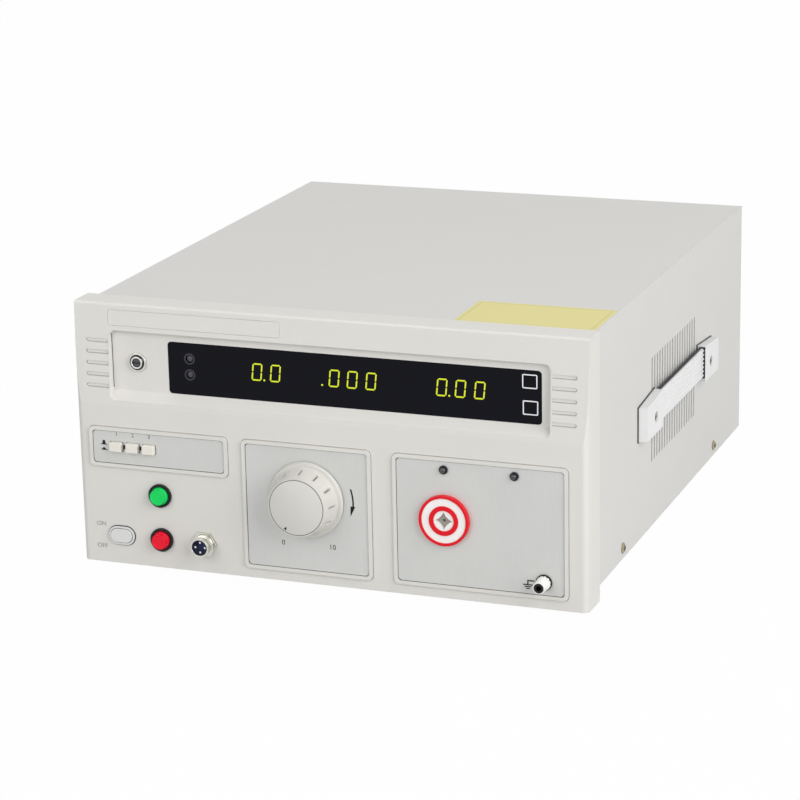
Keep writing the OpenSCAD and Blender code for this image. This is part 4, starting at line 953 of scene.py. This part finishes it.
@dataclass
class Studio:
    """Pale floor, white surround and soft light."""

    floor_side: float = 14.0
    floor_z: float = -0.0002
    surround: float = 0.34
    floor_white: float = 0.985
    lamps: tuple = (
        Softbox("key_softbox", (3.0, -1.6, 1.7), 3.0, 104.0),
        Softbox("front_softbox", (-1.4, -3.2, 1.8), 2.6, 44.0),
        Softbox("top_softbox", (-0.4, 0.6, 3.2), 2.2, 20.0))

    def build(self) -> None:
        """Makes the floor, the surround and the lamps."""
        self._floor()
        self._surround()
        for lamp in self.lamps:
            lamp.build()
        bpy.context.scene.view_settings.view_transform = "Standard"

    def _seen(self, wiring: Wiring) -> Number:
        """Gives 1 for rays from the eye, off gloss or through glass."""
        path = wiring.node("ShaderNodeLightPath")
        seen = Number(wiring, path.outputs["Is Camera Ray"])
        for label in ("Is Glossy Ray", "Is Transmission Ray"):
            seen = seen.most(Number(wiring, path.outputs[label]))
        return seen

    def _floor(self) -> None:
        """Lays the floor, which keeps a light shadow."""
        shape = bmesh.new()
        half = self.floor_side / 2
        places = ((-half, -half), (half, -half), (half, half), (-half, half))
        shape.faces.new([shape.verts.new((x, y, self.floor_z)) for x, y in places])
        mesh = bpy.data.meshes.new("floor")
        shape.to_mesh(mesh)
        shape.free()
        shading = Shading("floor_look")
        matt = shading.node("ShaderNodeBsdfDiffuse", None, {"Color": (0.6, 0.6, 0.6, 1)})
        white = shading.node("ShaderNodeEmission", None, {"Color": (1, 1, 1, 1), "Strength": 1.0})
        mixed = shading.node("ShaderNodeMixShader", None, {
            0: self._seen(shading) * self.floor_white, 1: matt.outputs[0], 2: white.outputs[0]})
        shading.node("ShaderNodeOutputMaterial", None, {"Surface": mixed.outputs[0]})
        mesh.materials.append(shading.material)
        link("floor", mesh)

    def _surround(self) -> None:
        """Makes the world white to the eye and dimmer as a light."""
        world = bpy.data.worlds.new("surround")
        bpy.context.scene.world = world
        world.use_nodes = True
        world.node_tree.nodes.clear()
        wiring = Wiring(world.node_tree)
        light = self._seen(wiring) * (1 - self.surround) + self.surround
        sky = wiring.node("ShaderNodeBackground", None, {"Color": (1, 1, 1, 1), "Strength": light})
        wiring.node("ShaderNodeOutputWorld", None, {"Surface": sky.outputs[0]})


@dataclass
class Shell:
    """Moulded front, cover, pan, rear panel, feet and screws."""

    label_margin: float = 3.0

    def build(self) -> None:
        """Dresses the shell."""
        dress(FRONT, "front_bezel")
        dress(PAINT, "top_cover", "rear_panel")
        dress(PAN, "chassis_base", "front_subpanel", "variac_base", "hv_frame")
        dress(SCREW, "case_screws")
        ease("rubber_feet", "feet", "foot_rubber", RUBBER, 1.0, 3)
        low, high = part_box("top_label")
        half = (high - low) / 2 / MM
        margin = self.label_margin
        label = replace(LABEL, centre=tuple((low + high) / 2), half=(half.x - margin, half.y - margin))
        dress(label, "top_label")


@dataclass
class ScrewRecessShade:
    """Painted shade in the crossed recesses in the heads of the screws in both sides."""

    reach: float = 2.4
    half_w: float = 0.45
    core_r: float = 1.5
    proud: float = 0.02
    sunk: float = 0.8
    steps: int = 6

    def build(self) -> None:
        """Lays one dark cross of painted shade in each head that stands out of a side."""
        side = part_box("top_cover")[1].x
        marks = Form()
        for head in self._heads():
            if abs(head.x) > side:
                outwards = math.copysign(1.0, head.x)
                marks.loft([[head + Vector((outwards * depth, y, z)) * MM for y, z in self._outline()]
                            for depth in (self.proud, -self.sunk)])
        marks.give("screw_recess_shade", "switch_dark", BLACK_AND_SHADE)

    def _outline(self) -> list[Point]:
        """Gives four wings round a round core, in millimetres from the middle."""
        points: list[Point] = []
        lean = math.degrees(math.asin(self.half_w / self.core_r))
        for start in (0, 90, 180, 270):
            wing = Matrix.Rotation(math.radians(start), 2)
            points += [tuple(wing @ Vector((self.reach, side))) for side in (-self.half_w, self.half_w)]
            points += arc(0, 0, self.core_r, start + lean, start + 90 - lean, self.steps)
        return points

    @staticmethod
    def _heads() -> list[Vector]:
        """Finds the middle of the outer end of each screw."""
        screws = merged("case_screws")
        heads, seen = [], set()
        for first in screws.verts:
            if first in seen:
                continue
            seen.add(first)
            group, edge = [], [first]
            while edge:
                vertex = edge.pop()
                group.append(vertex.co.copy())
                near = [line.other_vert(vertex) for line in vertex.link_edges]
                edge += [other for other in near if other not in seen]
                seen.update(near)
            low, high = (Vector(pick(axis) for axis in zip(*group)) for pick in (min, max))
            outer = max(low.x, high.x, key=abs)
            heads.append(Vector((outer, (low.y + high.y) / 2, (low.z + high.z) / 2)))
        screws.free()
        return heads


@dataclass
class PlatesAndShadeLines:
    """The inlaid plates, with painted shade in the gaps round them and round the foot of their raised frames.
    """

    gap: float = 0.3
    width: float = 0.55
    corner: float = 3.4
    frame_lip: float = 2.8
    frame_corner: float = 4.4
    foot_shade_line: float = 0.45
    foot_tuck: float = 0.1

    def build(self) -> None:
        """Dresses the plates and paints one line of shade round each and one round its frame."""
        grow = 2 * self.gap
        foot_grow = 2 * (self.gap + self.frame_lip + self.foot_shade_line - self.foot_tuck)
        for node in ("range_plate", "knob_plate", "output_plate"):
            dress(PLATE, node)
            plate = Extent(node)
            # A dark line of painted shade in the gap round the plate.
            line = Marks(plate.front)
            line.ring(plate.x, plate.z, plate.w + grow, plate.h + grow, self.corner, self.width)
            line.give(node + "_line", "switch_dark", GAP_SHADE)
            # A soft grey line of painted shade round the foot of the plate's frame.
            foot = Marks(0.0)
            foot.ring(plate.x, plate.z, plate.w + foot_grow, plate.h + foot_grow, self.frame_corner,
                      self.foot_shade_line)
            foot.give(node + "_frame_foot_shade", "front_plastic", SOFT_SHADE)


@dataclass
class GrooveLines:
    """Shadow lines along the lower edges of the ten grooves beside the recess."""

    inner: float = 177.0
    outer: float = 195.8
    first_z: float = 177.4
    pitch: float = 8.8
    height: float = 3.2
    depth: float = 0.9
    count: int = 5
    crease_z: float = 127.7
    lean: float = 4.8 / 79.3
    width: float = 0.4
    bend: Point = (-90.0, 60.0)
    before: float = 0.06

    def build(self) -> None:
        """Draws the lines, each bent round the groove's outer end."""
        lines = Form()
        radius, turn_x = (self.height - self.width) / 2, self.outer - self.height / 2
        for i in range(self.count):
            z = self.first_z - i * self.pitch
            floor = (z - self.crease_z) * self.lean + self.depth
            for side in (-1, 1):
                edges = ([(self.inner, z - reach)] + arc(turn_x, z, reach, *self.bend, 8)
                         for reach in (radius - self.width, radius))
                lines.band(*([(side * px, pz) for px, pz in edge] for edge in edges),
                           about(floor, self.before, MARK_T / 2), closed=False)
        lines.give("groove_lines", "front_plastic", SOFT_SHADE)


@dataclass
class Display:
    """Dark window with its lit digits, round lamps and frames, and the trimmer beside it."""

    digit_h: float = 13.6
    digit_z: float = 161.2
    stroke: float = 1.1
    width: float = 7.1
    gap: float = 0.2
    slant: float = 0.1
    point_r: float = 0.8
    lit_proud: float = 0.05
    lamp_rim: float = 1.1
    rim_lap: float = 0.1
    rim_proud: float = 0.06
    sunk: float = 0.02
    bush_grow: float = 1.15
    seal: Point = (4.9, 6.1)
    seal_levels: Point = (-2.12, -1.9)
    recess_side: float = -176.0
    recess_line: float = 0.6
    recess_floor: float = 7.5
    recess_z: Point = (140.0, 182.5)
    digits: tuple = (-56.1, -41.2, 6.1, 20.5, 35.4, 90.9, 105.4, 120.3)
    points: tuple = ((-50.4, 155.2), (-3.6, 155.4), (96.6, 155.2))
    squares: tuple = ((158.6, 171.0, 11.6, 10.8), (159.0, 151.1, 11.8, 10.9))
    square_corner: float = 1.1
    square_line: float = 0.85

    def build(self) -> None:
        """Makes the digits and dresses the display."""
        dress(WINDOW, "display_window")
        dress(BOARD, "display_board")
        dress(DIGIT_BODY, "timer_display", "current_display", "voltage_display")
        dress(LENS, "status_leds")
        ease("name_inlay", "name_strip", "strip_plastic", STRIP, 0.3)
        face = Extent("display_window").front
        self._recess_line()
        self._lamp_rims(face)
        self._lit_digits(about(face, self.lit_proud, self.sunk))
        frames = Marks(face)
        for square in self.squares:
            frames.ring(*square, self.square_corner, self.square_line)
        frames.give("result_frames", "window_dark", PALE_INK)
        self._trimmer(face)

    def _recess_line(self) -> None:
        """Draws the shadow line down the left side of the recess floor."""
        marks = Marks(self.recess_floor)
        x = self.recess_side + self.recess_line / 2
        low, high = self.recess_z
        marks.bar(x, low, x, high, self.recess_line)
        marks.give("recess_line", "front_plastic", SHADE_INK)

    def _lamp_rims(self, face: float) -> None:
        """Rings the two round lamps with their smoky rims."""
        lamps = Extent("status_leds")
        radius = lamps.w / 2
        radii, levels = (radius - self.rim_lap, radius + self.lamp_rim), about(face, self.rim_proud, self.sunk)
        rims = Form()
        for side in (-1, 1):
            rims.washer(lamps.x, lamps.z + side * (lamps.h / 2 - radius), radii, levels)
        rims.give("lamp_rims", "window_dark", SMOKE)

    def _segment(self, centre: Point, length: float, upright: bool) -> list[Point]:
        """Gives the outline of one pointed segment of a digit, slanted with its height."""
        half, wide = length / 2 - self.gap, self.stroke / 2
        outline = [(-half, 0), (-half + wide, -wide), (half - wide, -wide), (half, 0),
                   (half - wide, wide), (-half + wide, wide)]
        if upright:
            outline = [(-b, a) for a, b in outline]
        x, z = centre
        return [(x + a + self.slant * (z + b - self.digit_z), z + b) for a, b in outline]

    def _lit_digits(self, levels: Point) -> None:
        """Makes every digit show nought, with its points."""
        digits = Form()
        reach = self.digit_h - self.stroke
        for x in self.digits:
            for side in (-1, 1):
                digits.slab(self._segment((x, self.digit_z + side * reach / 2), self.width, False), levels)
                for end in (-1, 1):
                    centre = (x + side * self.width / 2, self.digit_z + end * reach / 4)
                    digits.slab(self._segment(centre, reach / 2, True), levels)
        for x, z in self.points:
            digits.slab(circle(x, z, self.point_r, 12), levels)
        digits.give("lit_digits", "digit_block", GLOW)

    def _trimmer(self, face: float) -> None:
        """Rounds the trimmer's bush and shaft and lays the seal round them."""
        node = "preset_bush"
        bush = stretched(eased("trimmer_bush", node, 0.3), node, self.bush_grow, self.bush_grow)
        hand_over(bush, Part.CASE, "bright_metal", CHROME, node)
        ease("trimmer_shaft", "preset_shaft", "bright_metal", STEEL, 0.15, part=Part.PRESET)
        place = Extent(node)
        seal = Form()
        seal.washer(place.x, place.z, self.seal, [face + level for level in self.seal_levels])
        seal.give("trimmer_seal", "switch_dark", BLACK_AND_SHADE)


@dataclass
class Controls:
    """Keys, buttons, power switch and the round connector on the left of the front."""

    key_x: float = -171.8
    key_pitch: float = 13.7
    key_z: float = 95.2
    key_share: float = 0.9
    number_up: float = 9.6
    number_h: float = 3.0
    # Size of the dark blocks of painted shade between the keys.
    gap_shade_size: tuple = (2.0, 3.2, 0.5)
    connector: tuple = (-101.2, -3.0, 23.0)
    thread_r: float = 7.65
    thread_l: float = 6.4
    # Width of the dark ring of painted shade round the power switch's rim.
    seal: float = 0.55
    cap_gap: float = 0.35
    cap_reach: float = 7.2
    cap_face: float = 0.78
    cap_play: float = 0.35
    cap_rim: tuple = ((0.5, 0.7), (0.1, 0.15), (-0.3, 0.0), (-0.8, 0.05), (-1.1, 0.3))
    cap_line: Point = (0.3, 0.65)
    cap_line_levels: Point = (0.55, 0.9)
    switch_x: float = -188.6
    switch_words: tuple = (("switch_on", "ON", 31.0), ("switch_off", "OFF", 13.0))
    word_h: float = 3.6
    symbol_x: float = -182.7
    symbols: tuple = ((1.4, 1.9), (-2.9, 0.2))

    def build(self) -> None:
        """Makes and dresses the controls."""
        for i, part in enumerate((Part.KEY_1, Part.KEY_2, Part.KEY_3), 1):
            node = f"range_key_{i}"
            key = stretched(eased(f"push_key_{i}", node, 0.5, 3), node, self.key_share)
            hand_over(key, part, "key_cream", KEY, node)
        self._cap("start_cap", "start_button", Part.START, "start_green", GREEN, GREEN_PAINTED_SHADE)
        self._cap("reset_cap", "reset_button", Part.RESET, "reset_red", RED, RED_PAINTED_SHADE)
        ease("power_cap", "power_button", "power_grey", POWER, 0.6, 3, Part.POWER)
        dress(BLACK_AND_SHADE, "range_switch", "button_housings")
        ease("power_rim", "power_switch", "switch_dark", POWER, 0.5, 3)
        ease("connector_shell", "remote_connector", "connector_metal", NICKEL, 0.2)
        dress(INSERT, "connector_insert")
        dress(CHROME, "connector_pins")
        thread = Thread(self.thread_r, self.thread_l).build("connector_thread", *self.connector, NICKEL)
        hand_over(thread, Part.CASE, "connector_metal", NICKEL)
        self._shade_power_gaps()
        self._marks(Extent("range_plate").front)

    def _cap(self, name: str, node: str, part: Part, slot: str, finish: Finish, shade: Finish) -> None:
        """Turns a push cap with a sloping side and a slightly hollow face, and a ring of painted shade round
        its face.
        """
        button = Extent(node)
        front, face, body = -self.cap_reach, button.w / 2 * self.cap_face, button.w / 2 - self.cap_play
        cap = Form()
        side = [(body, button.back), (body, -2.8), (body - 0.3, -3.3)]
        rim = [(face + out, front + back) for out, back in self.cap_rim]
        cap.turned(button.x, button.z, side + rim)
        cap.give(name, slot, finish, node, part=part)
        # A ring in a darker copy of the cap's colour: painted shade where the face meets the side.
        line = Form()
        line.washer(button.x, button.z, [face + out for out in self.cap_line],
                    [front + back for back in self.cap_line_levels])
        line.give(name + "_line", slot, shade, part=part)

    def _shade_power_gaps(self) -> None:
        """Lays a thin dark ring of painted shade in the gap round the power switch's rim, and another in the
        gap inside it.
        """
        rim, cap = Extent("power_switch"), Extent("power_button")
        gap_bands = Form()
        for w, h, line, levels in ((rim.w, rim.h, self.seal, (-0.6, 0.1)),
                                   (cap.w + 0.1, cap.h + 0.1, self.cap_gap, about(rim.front, 0.03, 0.2))):
            radius = h / 2 - 0.01
            gap_bands.band(rounded(rim.x, rim.z, w, h, radius, 8),
                       rounded(rim.x, rim.z, w + 2 * line, h + 2 * line, radius + line, 8), levels)
        gap_bands.give("power_gap_shade", "switch_dark", BLACK_AND_SHADE)

    def _marks(self, plane: float) -> None:
        """Paints shade in the gaps between the keys, and shows their numbers, the push symbols and the switch
        words.
        """
        # Dark blocks between the keys: painted shade in the gaps there.
        gap_shades = Form()
        for i in range(2):
            gap_shades.slab(rounded(self.key_x + (i + 0.5) * self.key_pitch, self.key_z, *self.gap_shade_size),
                         about(plane, 0.5, 0.1))
        gap_shades.give("key_gap_shade", "switch_dark", BLACK_AND_SHADE)
        for i in range(3):
            Lettering().write(f"key_number_{i + 1}", str(i + 1), self.key_x + i * self.key_pitch,
                              self.key_z + self.number_up, self.number_h, plane)
        # The raised words are the front's own plastic; their darker grey is painted shade.
        raised = Lettering(proud=0.25, finish=RAISED_SHADED, slot="front_plastic")
        for name, words, z in self.switch_words:
            raised.write(name, words, self.switch_x, z, self.word_h, 0)
        symbols = Marks(plane)
        for up, lift in self.symbols:
            half = [(2.6, -0.9), (2.6, -0.2), (1.4, -0.2), (1.0, 0.8 + lift)]
            symbols.fill([(self.symbol_x + side * x, self.key_z + up + z) for side in (1, -1)
                          for x, z in half[::side]])
        symbols.give("push_symbols", "switch_dark", INK)


@dataclass
class VoltageKnob:
    """The large knob, its disc and pointer, and the marks round it."""

    centre: Point = (-15.5, 67.0)
    arrow_r: float = 37.5
    arrow_w: float = 1.3
    arrow_bow: Point = (-4.0, 18.0)
    arrow_head: tuple = ((-0.9, -16), (1.7, -3), (-2.1, -3))
    scale_at: Point = (20.0, -36.0)
    scale_h: float = 4.0
    disc_over: float = 0.6
    disc_ease: float = 0.35
    disc_back: float = 0.06
    disc_gap: Point = (-0.05, 0.45)
    flutes: int = 12
    flute_y: float = -12.14
    flute_r: float = 23.55
    flute_slope: float = math.radians(13.7)
    flute_size: tuple = (1.2, 7.4, 0.1)
    pointer_angle: float = 28.0
    pointer_in: float = 1.2
    pointer_w: float = 2.4
    pointer_l: float = 2.8

    def build(self) -> None:
        """Makes and dresses the knob and prints its scale."""
        ease("knob_body", "voltage_knob", "knob_plastic", KNOB, 0.35, part=Part.KNOB)
        self._disc()
        dress(CHROME, "knob_shaft")
        dress(CARBON, "brush_arm")
        self._shade_flute_floors()
        plane = Extent("knob_plate").front
        arrow = Marks(plane)
        arrow.bow(*self.centre, self.arrow_r, *self.arrow_bow, self.arrow_w)
        arrow.fill([at_angle(*self.centre, self.arrow_r + out, turn) for out, turn in self.arrow_head])
        arrow.give("turn_arrow", "switch_dark", INK)
        x, z = self.centre
        across, up = self.scale_at
        for name, words, side in (("dial_low", "0", -1), ("dial_high", "10", 1)):
            Lettering().write(name, words, x + side * across, z + up, self.scale_h, plane)

    def _disc(self) -> None:
        """Turns the face disc with its eased rim, its dark pointer and the thin shadow in the gap round it."""
        cap = Extent("knob_cap")
        face, radius, ease_by = cap.front + self.disc_back, cap.w / 2 + self.disc_over, self.disc_ease
        disc = Form()
        disc.turned(cap.x, cap.z, [(radius, cap.back), (radius, face + ease_by),
                                   (radius - ease_by / 3, face + ease_by / 3), (radius - ease_by, face)], 96)
        disc.give("knob_disc", "knob_plastic", KNOB, "knob_cap", part=Part.KNOB)
        foot = radius - self.pointer_in
        turn, spread = -90 - self.pointer_angle, math.degrees(self.pointer_w / 2 / foot)
        mark = Form()
        mark.slab([at_angle(cap.x, cap.z, r, a) for r, a in
                   ((foot - self.pointer_l, turn), (foot, turn - spread), (foot, turn + spread))],
                  about(face, 0.03, 0.05))
        mark.give("pointer_mark", "knob_plastic", INK, part=Part.KNOB)
        line = Form()
        line.washer(cap.x, cap.z, [radius + out for out in self.disc_gap],
                    about(Extent("voltage_knob").front, 0.06, 0.1), 72)
        line.give("disc_line", "knob_plastic", SHADE_INK, part=Part.KNOB)

    def _shade_flute_floors(self) -> None:
        """Paints shade on the floors of the grip slots."""
        cap = Extent("knob_cap")
        floors = Form()
        for i in range(self.flutes):
            place = (Matrix.Translation(spot(cap.x, self.flute_y, cap.z))
                     @ Matrix.Rotation(2 * math.pi * i / self.flutes, 4, "Y")
                     @ Matrix.Translation(Vector((0, 0, self.flute_r * MM)))
                     @ Matrix.Rotation(self.flute_slope, 4, "X"))
            floors.box(place, Vector(self.flute_size) * MM)
        floors.give("flute_floor_shade", "knob_plastic", SOFT_SHADE, part=Part.KNOB)


@dataclass
class Outputs:
    """High-voltage socket, round lamps and ground post."""

    contact_play: float = 0.1
    contact_steps: int = 8
    contact_waist: float = 0.12
    contact_bore: float = 1.2
    mouth: Point = (2.0, 3.8)
    earth: Point = (158.7, 18.6)
    earth_bars: tuple = ((5.0, 2.6, 0.0, 2.6, 1.0), (0.0, 3.1, 0.0, -0.4, 1.0), (-3.8, -0.6, 3.8, -0.6, 0.9),
                         (-2.6, -2.1, 2.6, -2.1, 0.9), (-1.4, -3.6, 1.4, -3.6, 0.9))

    def build(self) -> None:
        """Makes and dresses the output side."""
        dress(WHITE, "hv_insulator")
        ease("hv_red_rings", "hv_rings", "red_ring", RING, 0.2)
        self._contact()
        ease("lamp_bezels", "lamp_holders", "lamp_black", BLACK_AND_SHADE, 0.3)
        dress(LAMP, "lamp_lenses")
        dress(BLACK_AND_SHADE, "ground_post")
        ease("ground_nut", "ground_cap", "white_insulator", WHITE, 0.3, part=Part.GROUND)
        nut = Extent("ground_cap")
        # A black ring on the nut's front: painted shade of the socket's opening.
        mouth = Form()
        mouth.washer(nut.x, nut.z, self.mouth, about(nut.front, 0.1, 0.4))
        mouth.give("ground_mouth_shade", "switch_dark", BLACK_AND_SHADE, part=Part.GROUND)
        symbol = Marks(Extent("output_plate").front)
        x, z = self.earth
        for x0, z0, x1, z1, width in self.earth_bars:
            symbol.bar(x + x0, z + z0, x + x1, z + z1, width)
        symbol.give("earth_symbol", "switch_dark", INK)

    def _contact(self) -> None:
        """Cuts the diamond-shaped contact with sides that draw in, and lays a dark disc of painted shade where
        its bore is.
        """
        socket = Extent("hv_contact")
        middle = Vector((socket.x, socket.z))
        half = socket.w / 2 - self.contact_play
        outline: list[Point] = []
        for quarter in range(4):
            start, end = (Vector((math.cos(turn), math.sin(turn))) * half
                          for turn in (math.pi / 2 * quarter, math.pi / 2 * (quarter + 1)))
            for i in range(self.contact_steps):
                share = i / self.contact_steps
                bow = 1 - self.contact_waist * math.sin(math.pi * share)
                outline.append(tuple(middle + start.lerp(end, share) * bow))
        block = Form()
        block.slab(outline, (socket.front, socket.back))
        low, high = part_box("hv_contact")
        finish = replace(CONTACT, centre=tuple((low + high) / 2))
        block.give("hv_contact_block", "contact_grey", finish, "hv_contact")
        # A dark steel disc on the solid contact: painted shade where the bore is.
        bore = Form()
        bore.slab(circle(socket.x, socket.z, self.contact_bore, 24), about(socket.front, 0.03, 0.1))
        bore.give("hv_contact_bore_shade", "contact_grey", STEEL)


@dataclass
class Handles:
    """Strap handles on both sides."""

    strap_t: float = 2.4
    # The dark band behind each strap: painted shade in the gap between strap and case.
    band_t: float = 1.2
    band_proud: float = 1.0
    block_l: float = 45.0
    # The thin dark line of painted shade round each end block's foot.
    foot_shade_t: float = 0.9
    foot_shade_proud: float = 0.45
    foot_shade_top: float = 0.6
    # The dark collar of painted shade where each strap leaves a block.
    collar: tuple = (4.0, 7.5, 0.9)
    collar_in: float = 1.0
    collar_proud: float = 0.7

    def build(self) -> None:
        """Rounds and dresses the handles, with dark pieces of painted shade: a band behind each strap, a line
        round each end block's foot and a collar where each strap leaves a block.
        """
        ease("handle_blocks", "handle_ends", "handle_white", HANDLE, 0.8, 3)
        ease("handle_ribbed_straps", "handle_straps", "handle_white", HANDLE, 0.35)
        band_shades, foot_shades, collars = Form(), Form(), Form()
        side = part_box("top_cover")[1].x
        low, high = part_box("handle_ends")
        for sign in (-1, 1):
            self._shade_band(band_shades, sign)
            for end, start in ((-1, low.y), (1, high.y)):
                self._shade_block_foot(foot_shades, sign * side, start, (high.y - low.y) / 2)
                self._collar(collars, sign, side, start - end * (self.block_l + self.collar_in) * MM, end)
        for form, name in ((band_shades, "strap_shade_bands"), (foot_shades, "handle_foot_shades"), (collars, "strap_exit_shades")):
            form.give(name, "switch_dark", BLACK_AND_SHADE)

    def _collar(self, collars: Form, sign: int, side: float, inner_y: float, end: int) -> None:
        """Sets a dark collar of painted shade round the strap where it leaves an end block."""
        low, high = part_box("handle_straps")
        inner, outer, thick = (size * MM for size in self.collar)
        size = Vector((outer - inner, thick, high.z - low.z + 2 * self.collar_proud * MM))
        middle = Vector((sign * (side + (inner + outer) / 2), inner_y - end * thick / 2, (high.z + low.z) / 2))
        collars.box(Matrix.Translation(middle), size)

    def _shade_block_foot(self, foot_shades: Form, side: float, start: float, reach: float) -> None:
        """Lays a thin dark line of painted shade round the foot of the end block that starts at a place along
        the side.
        """
        foot = [v.co.yz for v in frame["nodes"]["handle_ends"].data.vertices
                if abs(v.co.x - side) < ON_PLANE and abs(v.co.y - start) < reach]
        corners = [foot[i] for i in convex_hull_2d(foot)]
        middle = sum(corners, Vector((0.0, 0.0))) / len(corners)
        proud, top, thick = (size * MM for size in (self.foot_shade_proud, self.foot_shade_top, self.foot_shade_t))
        outline = [(y + math.copysign(proud, y - middle.x), z + (top if z > middle.y else -proud))
                   for y, z in corners]
        foot_shades.loft([[Vector((x, y, z)) for y, z in outline] for x in (side, side + math.copysign(thick, side))])

    def _shade_band(self, band_shades: Form, sign: int) -> None:
        """Lays a dark band behind a strap, painted shade in the gap between strap and case."""
        low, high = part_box("handle_straps")
        ends_low, ends_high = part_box("handle_ends")
        y0, y1 = ends_low.y + self.block_l * MM, ends_high.y - self.block_l * MM
        outer = high.x - self.strap_t * MM
        size = Vector((self.band_t * MM, y1 - y0, high.z - low.z + 2 * self.band_proud * MM))
        middle = Vector((sign * (outer - size.x / 2), (y0 + y1) / 2, (low.z + high.z) / 2))
        band_shades.box(Matrix.Translation(middle), size)


@dataclass
class Rear:
    """Fan, guard, mains inlet and fuse holder."""

    def build(self) -> None:
        """Dresses the rear fittings."""
        dress(FAN, "fan_frame", "fan_rotor")
        dress(WIRE, "fan_grille")
        dress(BLACK_AND_SHADE, "mains_inlet", "fuse_holder")
        dress(BRASS, "inlet_pins")
        ease("fuse_knob", "fuse_cap", "switch_dark", BLACK_AND_SHADE, 0.3, part=Part.FUSE)


@dataclass
class Inside:
    """Transformers, boards and their parts."""

    wire: float = 0.9
    core_bore: float = 19.0
    turns: int = 150

    def build(self) -> None:
        """Dresses what is seen through the slots, and winds the variable transformer with single turns."""
        dress(CORE, "variac_core", "hv_core")
        dress(TAPE, "hv_windings")
        dress(BOARD, "main_board")
        dress(SLEEVE, "board_parts")
        low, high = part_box("variac_winding")
        reach = (high - low) / 2
        wire, bore = self.wire * MM, self.core_bore * MM
        winding = Winding((low + high) / 2, (reach.x + bore) / 2, reach.x - bore - 2 * wire,
                          2 * (reach.y - wire), wire, self.turns)
        hand_over(winding.build("wound_turns", COPPER), Part.CASE, "copper", COPPER, "variac_winding")


def main() -> None:
    """Builds the scene in order."""
    logging.basicConfig(level=logging.INFO, format="%(name)s: %(message)s")
    for assembly in (PhotoView(), Studio(), Shell(), ScrewRecessShade(), PlatesAndShadeLines(), GrooveLines(), Display(),
                     Controls(), VoltageKnob(), Outputs(), Handles(), Rear(), Inside()):
        log.info("building %s", type(assembly).__name__)
        assembly.build()


if __name__ == "__main__":
    main()
